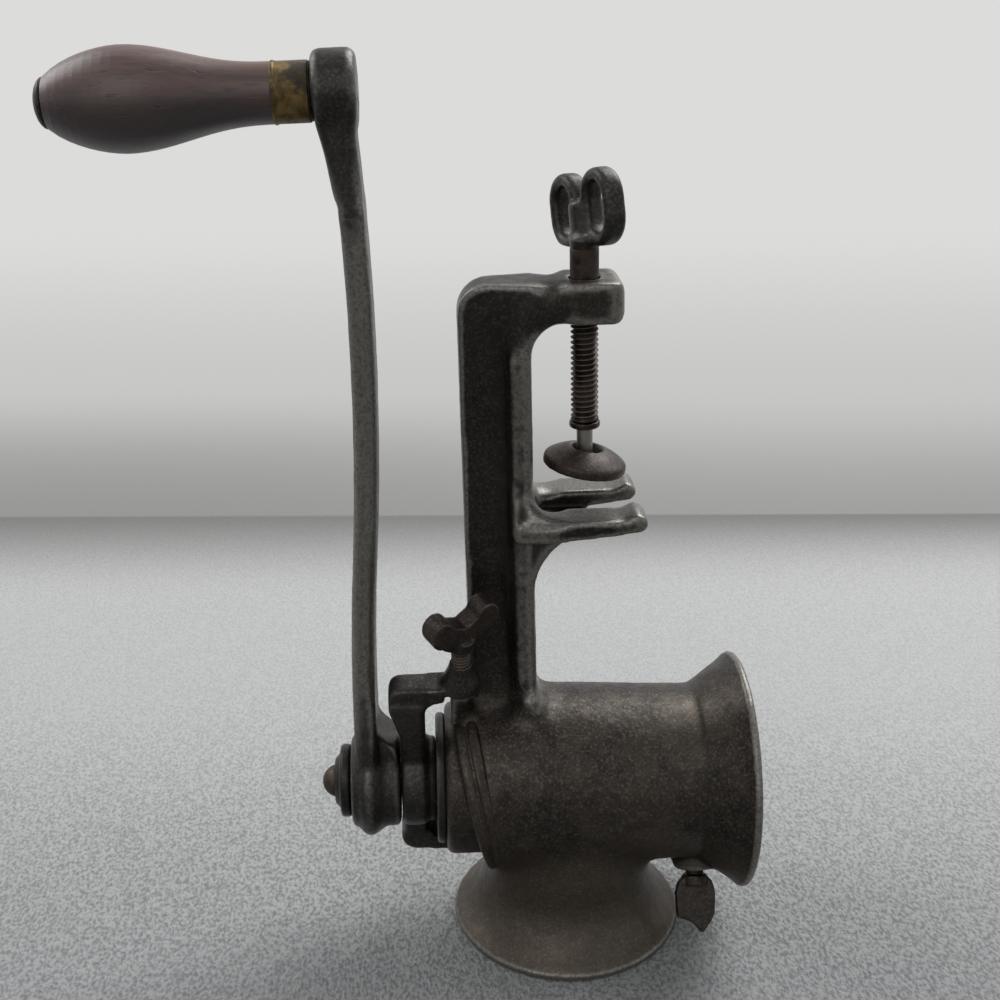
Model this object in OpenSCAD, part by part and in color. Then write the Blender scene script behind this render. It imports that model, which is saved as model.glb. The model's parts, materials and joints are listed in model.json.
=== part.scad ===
// Clamp-on meat grinder, standing upside down on its round hopper mouth.
// Origin: centre of the hopper mouth, on the plane that it stands on.
// +X points along the feed axis towards the flared outlet, +Z is up as it stands.

/* [Barrel and hopper] */
// Height of the feed axis above the plane that the hopper stands on
axis_h = 54; // [50:1:66]
// Outer radius of the hopper mouth
hopper_r = 38; // [36:1:46]
// Outer radius of the hopper neck
neck_r = 27.3; // [26:0.1:29]
// Radius of the hopper throat
throat_r = 22; // [17:0.5:23]
// Height of the band round the hopper mouth
lip_h = 2.6; // [2:0.1:5]
// Radius of the feed bore
bore_r = 23; // [19:0.5:23.5]
// Outer radius of the barrel at the outlet end
barrel_r = 28.2; // [27.5:0.1:31]
// Extra radius of the barrel over the hopper
barrel_swell = 2.2; // [0:0.1:4]
// Where the barrel ends and the flare begins, along X
flare_x = 41; // [38:1:50]
// Length of the flare
flare_len = 15.5; // [12:0.5:20]
// Outer radius of the flared outlet
flare_r = 38.3; // [35:0.1:46]
// Wall of the flare
flare_wall = 2.6; // [2:0.1:4]

/* [Crank end] */
// Slant of the crank end from a square cut, in degrees
slant = 12; // [6:1:14]
// Where the slanted end face crosses the feed axis, along X
slant_x = -32; // [-34:0.5:-31]
// Radius of the slanted end flange
end_flange_r = 29.2; // [28:0.1:31]
// Thickness of the slanted end flange
end_flange_t = 3.5; // [2:0.1:5]
// Outer radius of the wedge-shaped end cap
cap_r = 24.5; // [24:0.1:27]
// Where the flat outer face of the end cap lies, along X
cap_x = -40.3; // [-43:0.1:-39.5]
// Radius of the round bearing plate
bearing_plate_r = 21; // [17:0.5:24]
// Thickness of the bearing plate
bearing_plate_t = 3; // [2:0.1:4]
// Radius of the shaft journal
shaft_r = 6; // [4.8:0.1:7.2]
// Wall of the bearing bush
bush_wall = 1.8; // [1.2:0.1:2.4]
// Radial running clearance of the shaft in its bush
run_fit = 0.06; // [0.03:0.01:0.1]

/* [Bearing yoke] */
// Turn of the yoke about the feed axis, which brings its screw in front of the post, in degrees
yoke_turn = 17; // [15:1:22]
// Thickness of the yoke bar along X
yoke_bar_t = 8; // [7:0.1:10]
// How far the corner of the yoke stands out beyond its bar
yoke_head = 3.2; // [2:0.1:3.5]
// Gap between the yoke bar and the bearing plate
yoke_gap = 3.1; // [2:0.1:5]
// Width of the yoke bar
yoke_w = 12; // [10:0.5:14]
// Width of the top arm of the yoke
yoke_arm_w = 9; // [7:0.5:11]
// Radius of the bearing boss on the yoke
yoke_boss_r = 13.6; // [11:0.1:14]
// Distance from the feed axis to the top of the yoke
yoke_reach = 45.2; // [44:0.1:54]
// Thickness of the top arm of the yoke
yoke_arm_t = 5.7; // [4.5:0.1:7]
// Thickness of the hook under the end cap
hook_t = 6; // [4:0.1:7]
// Radius of the threaded eye for the yoke screw
yoke_eye_r = 6.1; // [5.5:0.1:7]
// Height of the threaded eye
yoke_eye_h = 11; // [9:0.5:13]
// Axis of the yoke screw, along X
yoke_screw_x = -35; // [-35.5:0.1:-34.5]
// Radius of the yoke screw
yoke_screw_r = 3.1; // [2.5:0.1:3.6]
// Length of the yoke screw that shows above its eye
yoke_screw_up = 4.6; // [3.5:0.1:8]
// Distance between the lobes of its wing
wing_span = 19.5; // [16:0.5:22]

/* [Clamp frame] */
// Lean of the clamp frame to the crank side, in degrees
lean = 1.2; // [0:0.1:2]
// Height of the top of the clamp arm
arm_top = 219.8; // [182:0.1:264]
// Thickness of the clamp arm
arm_t = 11.7; // [10:0.1:14]
// Outer face of the post, along X
post_out = -31.1; // [-34:0.1:-28]
// Inner face of the post, along X
post_in = -10.3; // [-13:0.1:-8]
// Thickness of the flat web of the post
web_t = 10; // [7:0.5:12]
// Width of the flange along the inner edge of the frame
flange_w = 20; // [17:0.5:23]
// Thickness of that flange
flange_t = 7; // [5:0.5:9]
// Inner radius of the frame's corner
corner_r = 10; // [7:0.5:14]
// Outer radius of the frame's corner
corner_out_r = 9; // [6:0.5:12]
// Height of the jaw, from the top of the fork to the clamp arm
jaw_h = 56.9; // [54:0.1:68]
// Thickness of the fork prongs at the post
fork_t = 6.4; // [5:0.1:8]
// Thickness of the fork prongs near their ends
prong_t = 4.4; // [3.6:0.1:5]
// Width over both prongs
fork_w = 38; // [34:0.5:42]
// Width of the slot between the prongs
slot_w = 12.4; // [11:0.1:15]
// Reach of the prongs, along X
fork_x = 22.8; // [18:0.1:26]
// Radius of the hollow web below the fork
gusset_r = 20; // [16:0.1:24]

/* [Clamp screw] */
// Axis of the clamp screw, along X
clamp_x = 5.7; // [4:0.1:7]
// Radius of the boss that the clamp screw runs in
clamp_boss_r = 10.8; // [9:0.1:12.5]
// Outer radius of the clamp screw thread
clamp_screw_r = 4.2; // [3.5:0.05:5.1]
// Gap left between each screw and its threaded hole
thread_fit = 0.05; // [0.03:0.01:0.1]
// Length of thread that shows below the clamp arm
thread_out = 31.5; // [26:0.1:33]
// Length of the shank above the clamp arm
clamp_shank_up = 8.4; // [8:0.1:20]
// Height of the finger loops
loop_h = 21.5; // [18:0.5:24]
// Width of one finger loop
loop_w = 17; // [14:0.5:19]
// Thickness of the finger loops
loop_t = 6.5; // [5:0.1:8]
// Band of metal round each finger loop
loop_band = 3.8; // [3:0.1:4.5]
// Turn of the finger loops about the screw, in degrees
loop_turn = -69; // [-90:1:90]
// Cant of the pair of finger loops on the screw, in degrees
loop_cant = 13; // [0:1:16]
// Radius of the neck below the thread
neck_pin_r = 2.4; // [1.9:0.1:2.9]
// Radius of the clamp pad
pad_r = 12.5; // [10.4:0.1:14]
// Drop from the end of the thread to the middle of the pad
pad_drop = 13.2; // [12:0.1:14]
// Tilt of the loose pad as it hangs, in degrees
pad_tilt = 10; // [0:1:12]

/* [Crank] */
// Distance from the feed axis to the grip spindle
crank_len = 217.4; // [170:0.1:262]
// Thickness of the crank arm
crank_t = 7.2; // [6:0.1:8.6]
// Width of the crank arm at the hub
crank_w = 26; // [22:0.5:28]
// Width of the crank arm at the grip
crank_w_top = 17; // [14:0.5:20]
// Length of the straight stretch of the crank arm, from the feed axis
crank_low = 29.4; // [20:0.1:40]
// Lean of the crank arm where its two bends meet, in degrees
crank_lean = 4.1; // [3:0.1:5]
// Radius of the lower bend of the crank arm
bend_r = 675; // [500:5:800]
// Radius of the crank hub
hub_r = 15; // [13:0.5:16]
// Radius of the ridge round the hub
hub_ridge_r = 17.9; // [16:0.1:19]
// Length of the crank hub
hub_len = 15.8; // [13:0.1:17]
// Gap between the hub and the yoke bar
hub_gap = 0.5; // [0.3:0.1:1]
// Side of the square end of the shaft
square_s = 8; // [6.6:0.1:9]
// Radius of the crank washer
crank_washer_r = 11.7; // [10:0.1:13]
// Thickness of the crank washer
crank_washer_t = 5.4; // [4:0.1:6.5]
// Radius of the head of the crank bolt
bolt_head_r = 5.2; // [4:0.1:6]
// Radius of the boss at the grip
grip_boss_r = 11; // [9:0.1:12]
// Thickness of the boss at the grip
grip_boss_t = 12.2; // [10:0.1:15]

/* [Grip] */
// Length of the wooden grip
grip_len = 60; // [50:0.1:72]
// Largest radius of the grip
grip_r = 14.1; // [12:0.1:16]
// Radius of the flat end of the grip
grip_end_r = 7; // [6.8:0.1:9]
// Radius of the grip at its ferrule
grip_neck_r = 8.2; // [7:0.1:9.6]
// Length of the ferrule
ferrule_len = 8; // [6:0.1:10]
// Thickness of the ferrule
ferrule_t = 0.7; // [0.5:0.1:1]
// Radius of the grip spindle
spindle_r = 3.2; // [2.5:0.1:4]
// Radial running clearance of the grip on its spindle
grip_fit = 0.09; // [0.04:0.01:0.1]
// Tilt of the grip spindle from the feed axis, in degrees
grip_tilt = 2; // [0:0.5:3]

/* [Feed screw and cutter] */
// Gap between the feed screw and the bore
feed_gap = 0.9; // [0.5:0.1:1.5]
// Radius of the feed screw core at the crank end
core_r = 8; // [7:0.5:10]
// Radius of the feed screw core at the cutter
core_out_r = 12; // [10:0.5:14]
// Lead of the feed screw
feed_lead = 27; // [22:1:34]
// Thickness of the feed screw flight
flight_t = 4; // [3:0.5:6]
// Thickness of the perforated plate
plate_t = 4; // [3:0.1:5]
// Radius of the holes in the plate
hole_r = 2.4; // [1.5:0.1:2.8]
// Thickness of the cutter knife
knife_t = 4; // [3:0.1:5]
// Radius of the pin that centres the plate
pin_r = 4; // [3:0.1:5]
// Angle of the plate screw from straight down, in degrees
plate_screw_a = 24; // [0:1:40]
// Radius of the plate screw
plate_screw_r = 3; // [2.4:0.1:3.6]
// Height of the boss of the plate screw above the bore
plate_boss_h = 9.5; // [8:0.5:11]
// Length of the plate screw outside its boss
plate_screw_out = 2; // [1.5:0.5:6]

/* [Hidden] */
$fn = 64;
eps = 0.01;
seat = 0.3;

iron = "#4b4a47";
worn_iron = "#6d6b66";
rusty = "#5b4034";
steel = "#8a8780";
wood = "#4a2620";
brass = "#8f7240";

// Crank end, from the barrel outwards along X
plate_x = cap_x - bearing_plate_t;
yoke_in = plate_x - yoke_gap;
yoke_out = yoke_in - yoke_bar_t;
hub_in = yoke_out - hub_gap;
hub_out = hub_in - hub_len;
bush_r = shaft_r + run_fit + bush_wall;

// Outlet end
plate_seat_x = flare_x - plate_t + 2;
plate_r = bore_r + 1.6;
knife_x = plate_seat_x - knife_t - seat;
knife_r = bore_r - 0.5;
feed_r = bore_r - feed_gap;
spigot_t = 2.5;
washer_t = 1.2;
feed_x0 = slant_x + spigot_t / cos(slant) + bore_r * tan(slant) + 0.4;

// Where the post starts inside the wall of the barrel
foot_z = axis_h + bore_r - 4;

// Clamp, from the arm down: underside of the arm, fork, end of the thread, pad
arm_low = arm_top - arm_t;
fork_top = arm_low - jaw_h;
clamp_thread_low = arm_low - thread_out;
pad_z = clamp_thread_low - pad_drop;

// Yoke screw, in front of the post, over a lug of the end flange
lug_out = 3.4;
lug_w = 8;
yoke_arm_z = axis_h + yoke_reach - yoke_arm_t;
eye_low = yoke_arm_z + 3;
eye_top = eye_low + yoke_eye_h;
lug_top = eye_low - 0.6;

// Grip end of the crank
grip_z = axis_h + crank_len;
grip_boss_x = hub_out - 1.5;

// Outer end of the boss of the plate screw, from the feed axis
plate_boss_r = bore_r + plate_boss_h;

// Moves its children into the leaning clamp frame
module leaning() {
    translate([0, 0, axis_h]) rotate([0, -lean, 0]) translate([0, 0, -axis_h]) children();
}

// Turns its children about the feed axis with the yoke
module yoke_turned() {
    translate([0, 0, axis_h]) rotate([yoke_turn, 0, 0]) translate([0, 0, -axis_h]) children();
}

// Puts a solid whose axis is Z onto the feed axis, pointing to +X
module on_feed_axis(x = 0) {
    translate([x, 0, axis_h]) rotate([0, 90, 0]) children();
}

// Puts a solid whose axis is Z onto the slanted end face, pointing to +X
module on_slant(shift = 0) {
    translate([slant_x, 0, axis_h]) rotate([0, 90 - slant, 0]) translate([0, 0, shift]) children();
}

// Puts a solid whose axis is Z onto the grip spindle, pointing to -X
module on_grip_axis(shift = 0) {
    translate([grip_boss_x, 0, grip_z]) rotate([0, -90 - grip_tilt, 0]) translate([0, 0, shift]) children();
}

// Puts a solid whose axis is Z onto the plate screw, pointing outwards
module on_plate_screw(r = 0) {
    translate([plate_seat_x + plate_t / 2, 0, axis_h]) rotate([180 - plate_screw_a, 0, 0])
        translate([0, 0, r]) children();
}

// A disc with a rounded rim: radius, thickness, rounding
module soft_disc(r, t, e) {
    rotate_extrude() union() {
        square([r - e, t]);
        translate([0, e]) square([r, t - 2 * e]);
        translate([r - e, e]) circle(r = e, $fn = 24);
        translate([r - e, t - e]) circle(r = e, $fn = 24);
    }
}

// A flat ring: outer radius, inner radius, thickness
module ring(ro, ri, t) {
    difference() {
        cylinder(r = ro, h = t);
        translate([0, 0, -eps]) cylinder(r = ri, h = t + 2 * eps);
    }
}

// Half section of the barrel: a gentle swell over the hopper, then the flare and its rolled lip
module barrel_section() {
    back = slant_x - 8;
    flare_end = flare_x + flare_len;
    polygon([[0, back], [barrel_r, back], [barrel_r + barrel_swell, -12], [barrel_r + 0.5, 24],
        [barrel_r, flare_x], [flare_r - 1.2, flare_end - 3], [flare_r, flare_end - 2.4],
        [flare_r, flare_end - 0.8], [flare_r - 0.8, flare_end], [0, flare_end]]);
}

// Half section of the space inside the barrel
module bore_section() {
    back = slant_x - 20;
    flare_end = flare_x + flare_len;
    polygon([[0, back], [bore_r, back], [bore_r, plate_seat_x], [plate_r + seat / 2, plate_seat_x],
        [plate_r + seat / 2, plate_seat_x + plate_t + 0.2], [flare_r - flare_wall - 1.4, flare_end - 2],
        [flare_r - flare_wall, flare_end + eps], [0, flare_end + eps]]);
}

// Half section of the hopper: straight neck, concave bell and a narrow band at the mouth
module hopper_section() {
    bell_h = 22;
    run = hopper_r - 1.2 - neck_r;
    rise = bell_h - lip_h - 0.8;
    bell_r = (run * run + rise * rise) / (2 * run);
    difference() {
        union() {
            square([hopper_r - 1.2, bell_h]);
            square([neck_r, axis_h - 6]);
            translate([0, 0.8]) square([hopper_r, lip_h - 0.8]);
            polygon([[0, 0], [hopper_r - 0.8, 0], [hopper_r, 0.8], [0, 0.8]]);
        }
        translate([neck_r + bell_r, bell_h]) circle(r = bell_r, $fn = 128);
        translate([neck_r, bell_h]) square([hopper_r, axis_h]);
    }
}

// Half section of the space inside the hopper
module throat_section() {
    bell_h = 24;
    run = hopper_r - 2.8 - throat_r;
    bell_r = (run * run + bell_h * bell_h) / (2 * run);
    difference() {
        translate([0, -eps]) square([hopper_r - 2.8, bell_h + eps]);
        translate([throat_r + bell_r, bell_h]) circle(r = bell_r, $fn = 128);
    }
    square([throat_r, axis_h - 3]);
}

// Section across the frame: u runs from the inner face outwards, v is across
module frame_section() {
    e = 2.4;
    stub = 0.5;
    f = min(4, arm_t - flange_t - stub - 0.2);
    half = flange_w / 2;
    rise = half - 1 - web_t / 2;
    hollow_r = ((f + 1) * (f + 1) + rise * rise) / (2 * rise);
    // flange with four rounded edges
    translate([e, -half]) square([flange_t - 2 * e, flange_w]);
    translate([0, e - half]) square([flange_t, flange_w - 2 * e]);
    for (u = [e, flange_t - e], v = [e - half, half - e]) translate([u, v]) circle(r = e, $fn = 24);
    // start of the web, which swells in a hollow curve up to the flange
    difference() {
        translate([flange_t - 1, 1 - half]) square([f + 1, flange_w - 2]);
        for (s = [-1, 1]) translate([flange_t + f, s * (web_t / 2 + hollow_r)]) circle(r = hollow_r);
    }
    translate([flange_t + f - eps, -web_t / 2]) square([stub, web_t]);
}

// Flat web of the post and the clamp arm, the hollow web below the fork and the foot on the barrel
module frame_web() {
    sunk = flange_t + 3;
    fork_low = fork_top - fork_t;
    foot_r = 7;
    foot_low = axis_h + barrel_r + barrel_swell - 1.3;
    corner_x = post_in + corner_r;
    rotate([90, 0, 0]) linear_extrude(web_t, center = true) difference() {
        union() {
            translate([post_out, foot_z]) square([post_in - sunk - post_out, arm_top - foot_z - corner_out_r]);
            translate([post_out + corner_out_r, arm_low + sunk])
                square([clamp_x - post_out - corner_out_r, arm_t - sunk]);
            translate([post_out + corner_out_r, arm_top - corner_out_r]) circle(r = corner_out_r);
            translate([post_in - sunk - eps, arm_low - corner_r]) square(corner_r + sunk + eps);
        }
        translate([corner_x, arm_low - corner_r]) circle(r = corner_r + sunk);
    }
    rotate([90, 0, 0]) linear_extrude(flange_w - 1.2, center = true) difference() {
        translate([post_in - 1, fork_low - gusset_r]) square([gusset_r * 0.9, gusset_r + 1]);
        translate([post_in + gusset_r - 0.2, fork_low - gusset_r - 0.6]) circle(r = gusset_r, $fn = 128);
    }
    rotate([90, 0, 0]) linear_extrude(flange_w - 3, center = true) difference() {
        translate([post_in - 1, foot_low - 3]) square([foot_r + 1, foot_r + 3]);
        translate([post_in + foot_r, foot_low + foot_r]) circle(r = foot_r);
    }
}

// Rounded flange that follows the inner edge: up the post, round the corner and along the arm
module frame_flange() {
    translate([post_in, 0, foot_z + 1]) mirror([1, 0, 0])
        linear_extrude(arm_low - corner_r - foot_z - 1) frame_section();
    translate([post_in + corner_r, 0, arm_low - corner_r]) rotate([90, 0, 0]) mirror([0, 0, 1])
        rotate([0, 0, 90]) rotate_extrude(angle = 90, $fn = 96) translate([corner_r, 0]) frame_section();
    translate([post_in + corner_r, 0, arm_low]) rotate([0, 90, 0]) mirror([1, 0, 0])
        linear_extrude(clamp_x - post_in - corner_r) frame_section();
}

// Two-pronged fork with upturned ends, which stands on the table top
module fork() {
    nose = 2.9;
    in_x = post_in - flange_t;
    low = fork_top - fork_t;
    tip_low = fork_top - prong_t;
    slot_x = post_in + 0.5;
    slot_e = slot_w / 2 - 1.2;
    side_r = (fork_w - flange_w) / 2;
    difference() {
        // side view: flat top, underside that rises towards the ends, upturned nose
        translate([0, fork_w / 2, 0]) rotate([90, 0, 0]) linear_extrude(fork_w) {
            polygon([[in_x, low], [post_in + 4, low], [fork_x - nose, tip_low],
                [fork_x - nose, fork_top], [in_x, fork_top]]);
            translate([fork_x - nose, tip_low + nose]) circle(r = nose);
            translate([fork_x - nose - 0.6, fork_top - 1.1]) circle(r = nose);
        }
        translate([0, 0, low - 1]) linear_extrude(fork_t + 6) {
            translate([slot_x + slot_e, -slot_w / 2]) square([fork_x - slot_x + 20, slot_w]);
            translate([slot_x, slot_e - slot_w / 2]) square([slot_e + 1, slot_w - 2 * slot_e]);
            for (s = [-1, 1]) translate([slot_x + slot_e, s * (slot_w / 2 - slot_e)]) circle(r = slot_e);
        }
    }
    // hollow fillets where the flange of the post spreads out to the width of the fork
    for (s = [-1, 1]) translate([in_x, 0, fork_top - eps]) rotate([90, 0, 90]) linear_extrude(flange_t)
        difference() {
            translate([s > 0 ? flange_w / 2 - 3 : -fork_w / 2, 0]) square([side_r + 3, side_r]);
            translate([s * fork_w / 2, side_r]) circle(r = side_r);
        }
}

// A rectangle with rounded corners: width, height, rounding
module soft_square(w, h, e) {
    square([w - 2 * e, h], center = true);
    square([w, h - 2 * e], center = true);
    for (x = [-1, 1], y = [-1, 1]) translate([x * (w / 2 - e), y * (h / 2 - e)]) circle(r = e);
}

// Rounded block at the end of the clamp arm, which the clamp screw runs in
module clamp_block() {
    h = arm_t + 0.4;
    w = flange_w + 0.8;
    translate([clamp_x, 0, arm_top - h / 2]) intersection() {
        linear_extrude(h + 2, center = true) soft_square(2 * clamp_boss_r, w, 4.5);
        rotate([90, 0, 0]) linear_extrude(w + 2, center = true) soft_square(2 * clamp_boss_r + 0.2, h, 3);
    }
}

// One casting: barrel, flare, hopper, slanted end flange and the clamp frame
module body_casting() color(iron) difference() {
    union() {
        difference() {
            on_feed_axis() rotate_extrude($fn = 128) barrel_section();
            on_slant(-60) cylinder(r = 90, h = 60);
        }
        on_slant() soft_disc(end_flange_r, end_flange_t, 0.6);
        rotate_extrude($fn = 128) hopper_section();
        leaning() {
            frame_web();
            frame_flange();
            fork();
            clamp_block();
        }
        // lug that the yoke screw presses on, and boss of the plate screw
        yoke_turned() translate([yoke_screw_x - lug_out, -lug_w / 2, axis_h + bore_r + 3])
            cube([lug_out + 3, lug_w, lug_top - axis_h - bore_r - 3]);
        on_plate_screw(bore_r + 3)
            cylinder(r1 = plate_screw_r + 5.5, r2 = plate_screw_r + 3.7, h = plate_boss_h - 3);
    }
    on_feed_axis() rotate_extrude($fn = 128) bore_section();
    rotate_extrude($fn = 128) throat_section();
    // the slanted face, cut clean across the neck of the hopper
    on_slant(-8) cylinder(r = end_flange_r, h = 8);
    leaning() translate([clamp_x, 0, arm_low - 1])
        cylinder(r = clamp_screw_r + thread_fit, h = arm_t + 2);
    on_plate_screw(bore_r - 1) cylinder(r = plate_screw_r + thread_fit, h = 20);
}

// Wedge-shaped cap: flat outside, slanted inside, with a spigot in the bore
module end_cap() color(iron) difference() {
    union() {
        intersection() {
            on_feed_axis(cap_x) soft_disc(cap_r, 40, 2.5);
            on_slant(-60) cylinder(r = 90, h = 60 - 0.02);
        }
        intersection() {
            on_feed_axis(cap_x + 3) cylinder(r = bore_r - 0.25, h = 40);
            on_slant(-60) cylinder(r = 90, h = 60 + spigot_t);
        }
        // square-ended boss that takes the thrust of the feed screw
        on_feed_axis(cap_x + 3) cylinder(r = core_r + 3, h = feed_x0 - 2 * seat - washer_t - cap_x - 3);
    }
    on_feed_axis(cap_x - 1) cylinder(r = bush_r + 0.02, h = 40);
}

// Round plate that the yoke boss bears on
module bearing_plate() color(iron) on_feed_axis(plate_x) difference() {
    soft_disc(bearing_plate_r, bearing_plate_t - 0.02, 0.8);
    translate([0, 0, -eps]) cylinder(r = bush_r + 0.02, h = bearing_plate_t + 1);
}

// Bracket that carries the crank bearing: bar, threaded eye in front of the post, hook below the cap
module bearing_yoke() color(worn_iron) yoke_turned() difference() {
    top = axis_h + yoke_reach;
    arm_z = yoke_arm_z;
    head_x = yoke_out - yoke_head;
    hook_z = axis_h - cap_r - hook_t;
    union() {
        // bar with a bulging foot, and the hook
        translate([0, yoke_w / 2, 0]) rotate([90, 0, 0]) linear_extrude(yoke_w) {
            translate([yoke_out, hook_z + 6]) square([yoke_bar_t, arm_z - hook_z - 6 + eps]);
            translate([yoke_out + 4.5, hook_z + 5.5]) circle(r = 5.5);
            translate([yoke_out + 4.5, hook_z]) square([slant_x - yoke_out - 0.5, hook_t]);
            // corner that stands out beyond the bar
            polygon([[yoke_out + 1, top - 22], [yoke_out, top - 21], [head_x + 1, top - 12], [head_x, top - 9],
                [head_x, arm_z + 0.5], [yoke_out + 1, arm_z + 0.5]]);
        }
        // top arm with a rounded outer corner and a hollow inner one
        translate([0, yoke_arm_w / 2, 0]) rotate([90, 0, 0]) linear_extrude(yoke_arm_w) {
            translate([head_x, arm_z - 3]) square([yoke_bar_t + yoke_head, yoke_arm_t - 1]);
            translate([head_x + 4, arm_z]) square([yoke_screw_x - head_x - 4, yoke_arm_t]);
            translate([head_x + 4, top - 4]) circle(r = 4);
            difference() {
                translate([yoke_in - eps, arm_z - 5]) square([5, 5 + eps]);
                translate([yoke_in + 5, arm_z - 5]) circle(r = 5, $fn = 32);
            }
        }
        on_feed_axis(yoke_out) soft_disc(yoke_boss_r, yoke_bar_t + yoke_gap - 0.02, 0.8);
        on_feed_axis(yoke_out) cylinder(r = yoke_boss_r + 1.5, h = yoke_bar_t);
        // threaded eye, bell-shaped
        translate([yoke_screw_x, 0, eye_low]) {
            cylinder(r = yoke_eye_r, h = 3);
            translate([0, 0, 3 - eps]) cylinder(r1 = yoke_eye_r, r2 = yoke_screw_r + 1.2, h = yoke_eye_h - 3);
        }
    }
    on_feed_axis(yoke_out - 1) cylinder(r = bush_r + 0.02, h = yoke_bar_t + yoke_gap + 2);
    translate([yoke_screw_x, 0, eye_low - 9]) cylinder(r = yoke_screw_r + thread_fit, h = yoke_eye_h + 20);
    on_feed_axis(cap_x - 1) cylinder(r = cap_r + 0.05, h = 40);
    // underside of the arm, cut back to the eye
    translate([yoke_screw_x - yoke_eye_r + 1, -20, arm_z - 1]) cube([20, 40, eye_low - arm_z + 1]);
}

// Plain sleeve that the shaft turns in
module bearing_bush() color(steel)
    on_feed_axis(yoke_out + 0.4) ring(bush_r, shaft_r + run_fit, slant_x + 3 - yoke_out);

// Threaded stem that presses on the lug of the end flange
module yoke_screw_stem() color(rusty) yoke_turned() translate([yoke_screw_x, 0, lug_top + 0.1])
    cylinder(r = yoke_screw_r, h = eye_top + yoke_screw_up - lug_top - 0.1);

// Solid butterfly wing of a wing screw: distance between the lobes, lobe radius, thickness
module butterfly(span, lobe_r, t) {
    rotate([90, 0, 0]) linear_extrude(t, center = true) for (s = [-1, 1]) {
        translate([s * span / 2, 10.8]) circle(r = lobe_r);
        hull() {
            translate([s * span / 2, 10.8 - lobe_r * 0.15]) circle(r = lobe_r * 0.8, $fn = 32);
            translate([0, 5]) circle(r = 5, $fn = 32);
        }
    }
}

module yoke_screw_wing() color(rusty) yoke_turned() translate([yoke_screw_x, 0, eye_top + yoke_screw_up]) {
    cylinder(r1 = yoke_screw_r + 0.8, r2 = yoke_screw_r + 1.4, h = 5);
    rotate([0, 0, 41]) butterfly(wing_span, 5, 5.6);
}

// Threaded stem whose point presses on the rim of the plate
module plate_screw_stem() color(rusty) on_plate_screw(plate_r + seat)
    cylinder(r = plate_screw_r, h = plate_boss_r + plate_screw_out - plate_r - seat);

// Leaf-shaped thumb piece of the plate screw
module plate_screw_wing() color(rusty) on_plate_screw(plate_boss_r + plate_screw_out) {
    rotate([0, 0, -8]) rotate([90, 0, 0]) linear_extrude(2.8, center = true)
        polygon([[-3.4, 0], [3.4, 0], [5.8, 2.6], [6.7, 6], [6.5, 13], [5.2, 15.6], [2.4, 19.2], [1.5, 19.2],
            [-0.6, 16.6], [-2.8, 15], [-6.3, 13.8], [-6.7, 6], [-5.8, 2.6]]);
    cylinder(r = plate_screw_r + 1, h = 3.4);
}

// Perforated plate: three rings of holes round the centre hole
module perforated_plate() color(steel) on_feed_axis(plate_seat_x + 0.02) difference() {
    cylinder(r = plate_r, h = plate_t);
    translate([0, 0, -1]) {
        cylinder(r = pin_r + run_fit, h = plate_t + 2);
        for (k = [1:3], i = [0:6 * k - 1])
            rotate([0, 0, 360 / (6 * k) * i]) translate([pin_r + 1.8 + 4.9 * k - 2.2, 0, 0])
                cylinder(r = hole_r, h = plate_t + 2, $fn = 24);
    }
}

// Four-bladed knife on the square of the feed screw
module cutter_knife() color(steel) on_feed_axis(knife_x) linear_extrude(knife_t) difference() {
    union() {
        circle(r = 8);
        for (i = [0:3]) rotate(90 * i + 20)
            polygon([[5, -5.5], [knife_r - 1.5, -2.2], [knife_r, 2.2], [knife_r - 3, 3.6], [5, 3]]);
    }
    square(square_s, center = true);
}

// Feed screw: shaft with square ends, tapered core and a helical flight
module feed_screw() color(worn_iron) {
    core_len = knife_x - seat - feed_x0;
    shank_in = hub_in + 0.02;
    on_feed_axis(shank_in) cylinder(r = shaft_r, h = feed_x0 - shank_in + 1);
    difference() {
        translate([hub_out + 1, -square_s / 2 + 0.05, axis_h - square_s / 2 + 0.05])
            cube([shank_in - hub_out - 1 + eps, square_s - 0.1, square_s - 0.1]);
        on_feed_axis(hub_out) cylinder(r = 2.5, h = 11.5);
    }
    on_feed_axis(feed_x0) cylinder(r1 = core_r, r2 = core_out_r, h = core_len);
    // the flight is a twisted sector, so that it is as thick at the core as at its rim
    half_a = 180 * flight_t / feed_lead;
    intersection() {
        on_feed_axis(feed_x0) cylinder(r = feed_r, h = core_len);
        on_feed_axis(feed_x0)
            linear_extrude(core_len, twist = -360 * core_len / feed_lead, slices = 60, $fn = 8)
                polygon(concat([[0, 0]], [for (i = [-2:2])
                    1.2 * feed_r * [cos(half_a * i / 2), sin(half_a * i / 2)]]));
    }
    // square for the knife, then the pin that centres the plate
    translate([feed_x0 + core_len - eps, -square_s / 2 + 0.05, axis_h - square_s / 2 + 0.05])
        cube([knife_t + seat, square_s - 0.1, square_s - 0.1]);
    on_feed_axis(knife_x + knife_t - eps) cylinder(r = pin_r, h = plate_t + 1);
}

// Loose washer between the shoulder of the feed screw and the end cap
module thrust_washer() color(steel)
    on_feed_axis(feed_x0 - seat - washer_t) ring(core_r + 3, shaft_r + run_fit, washer_t);

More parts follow.
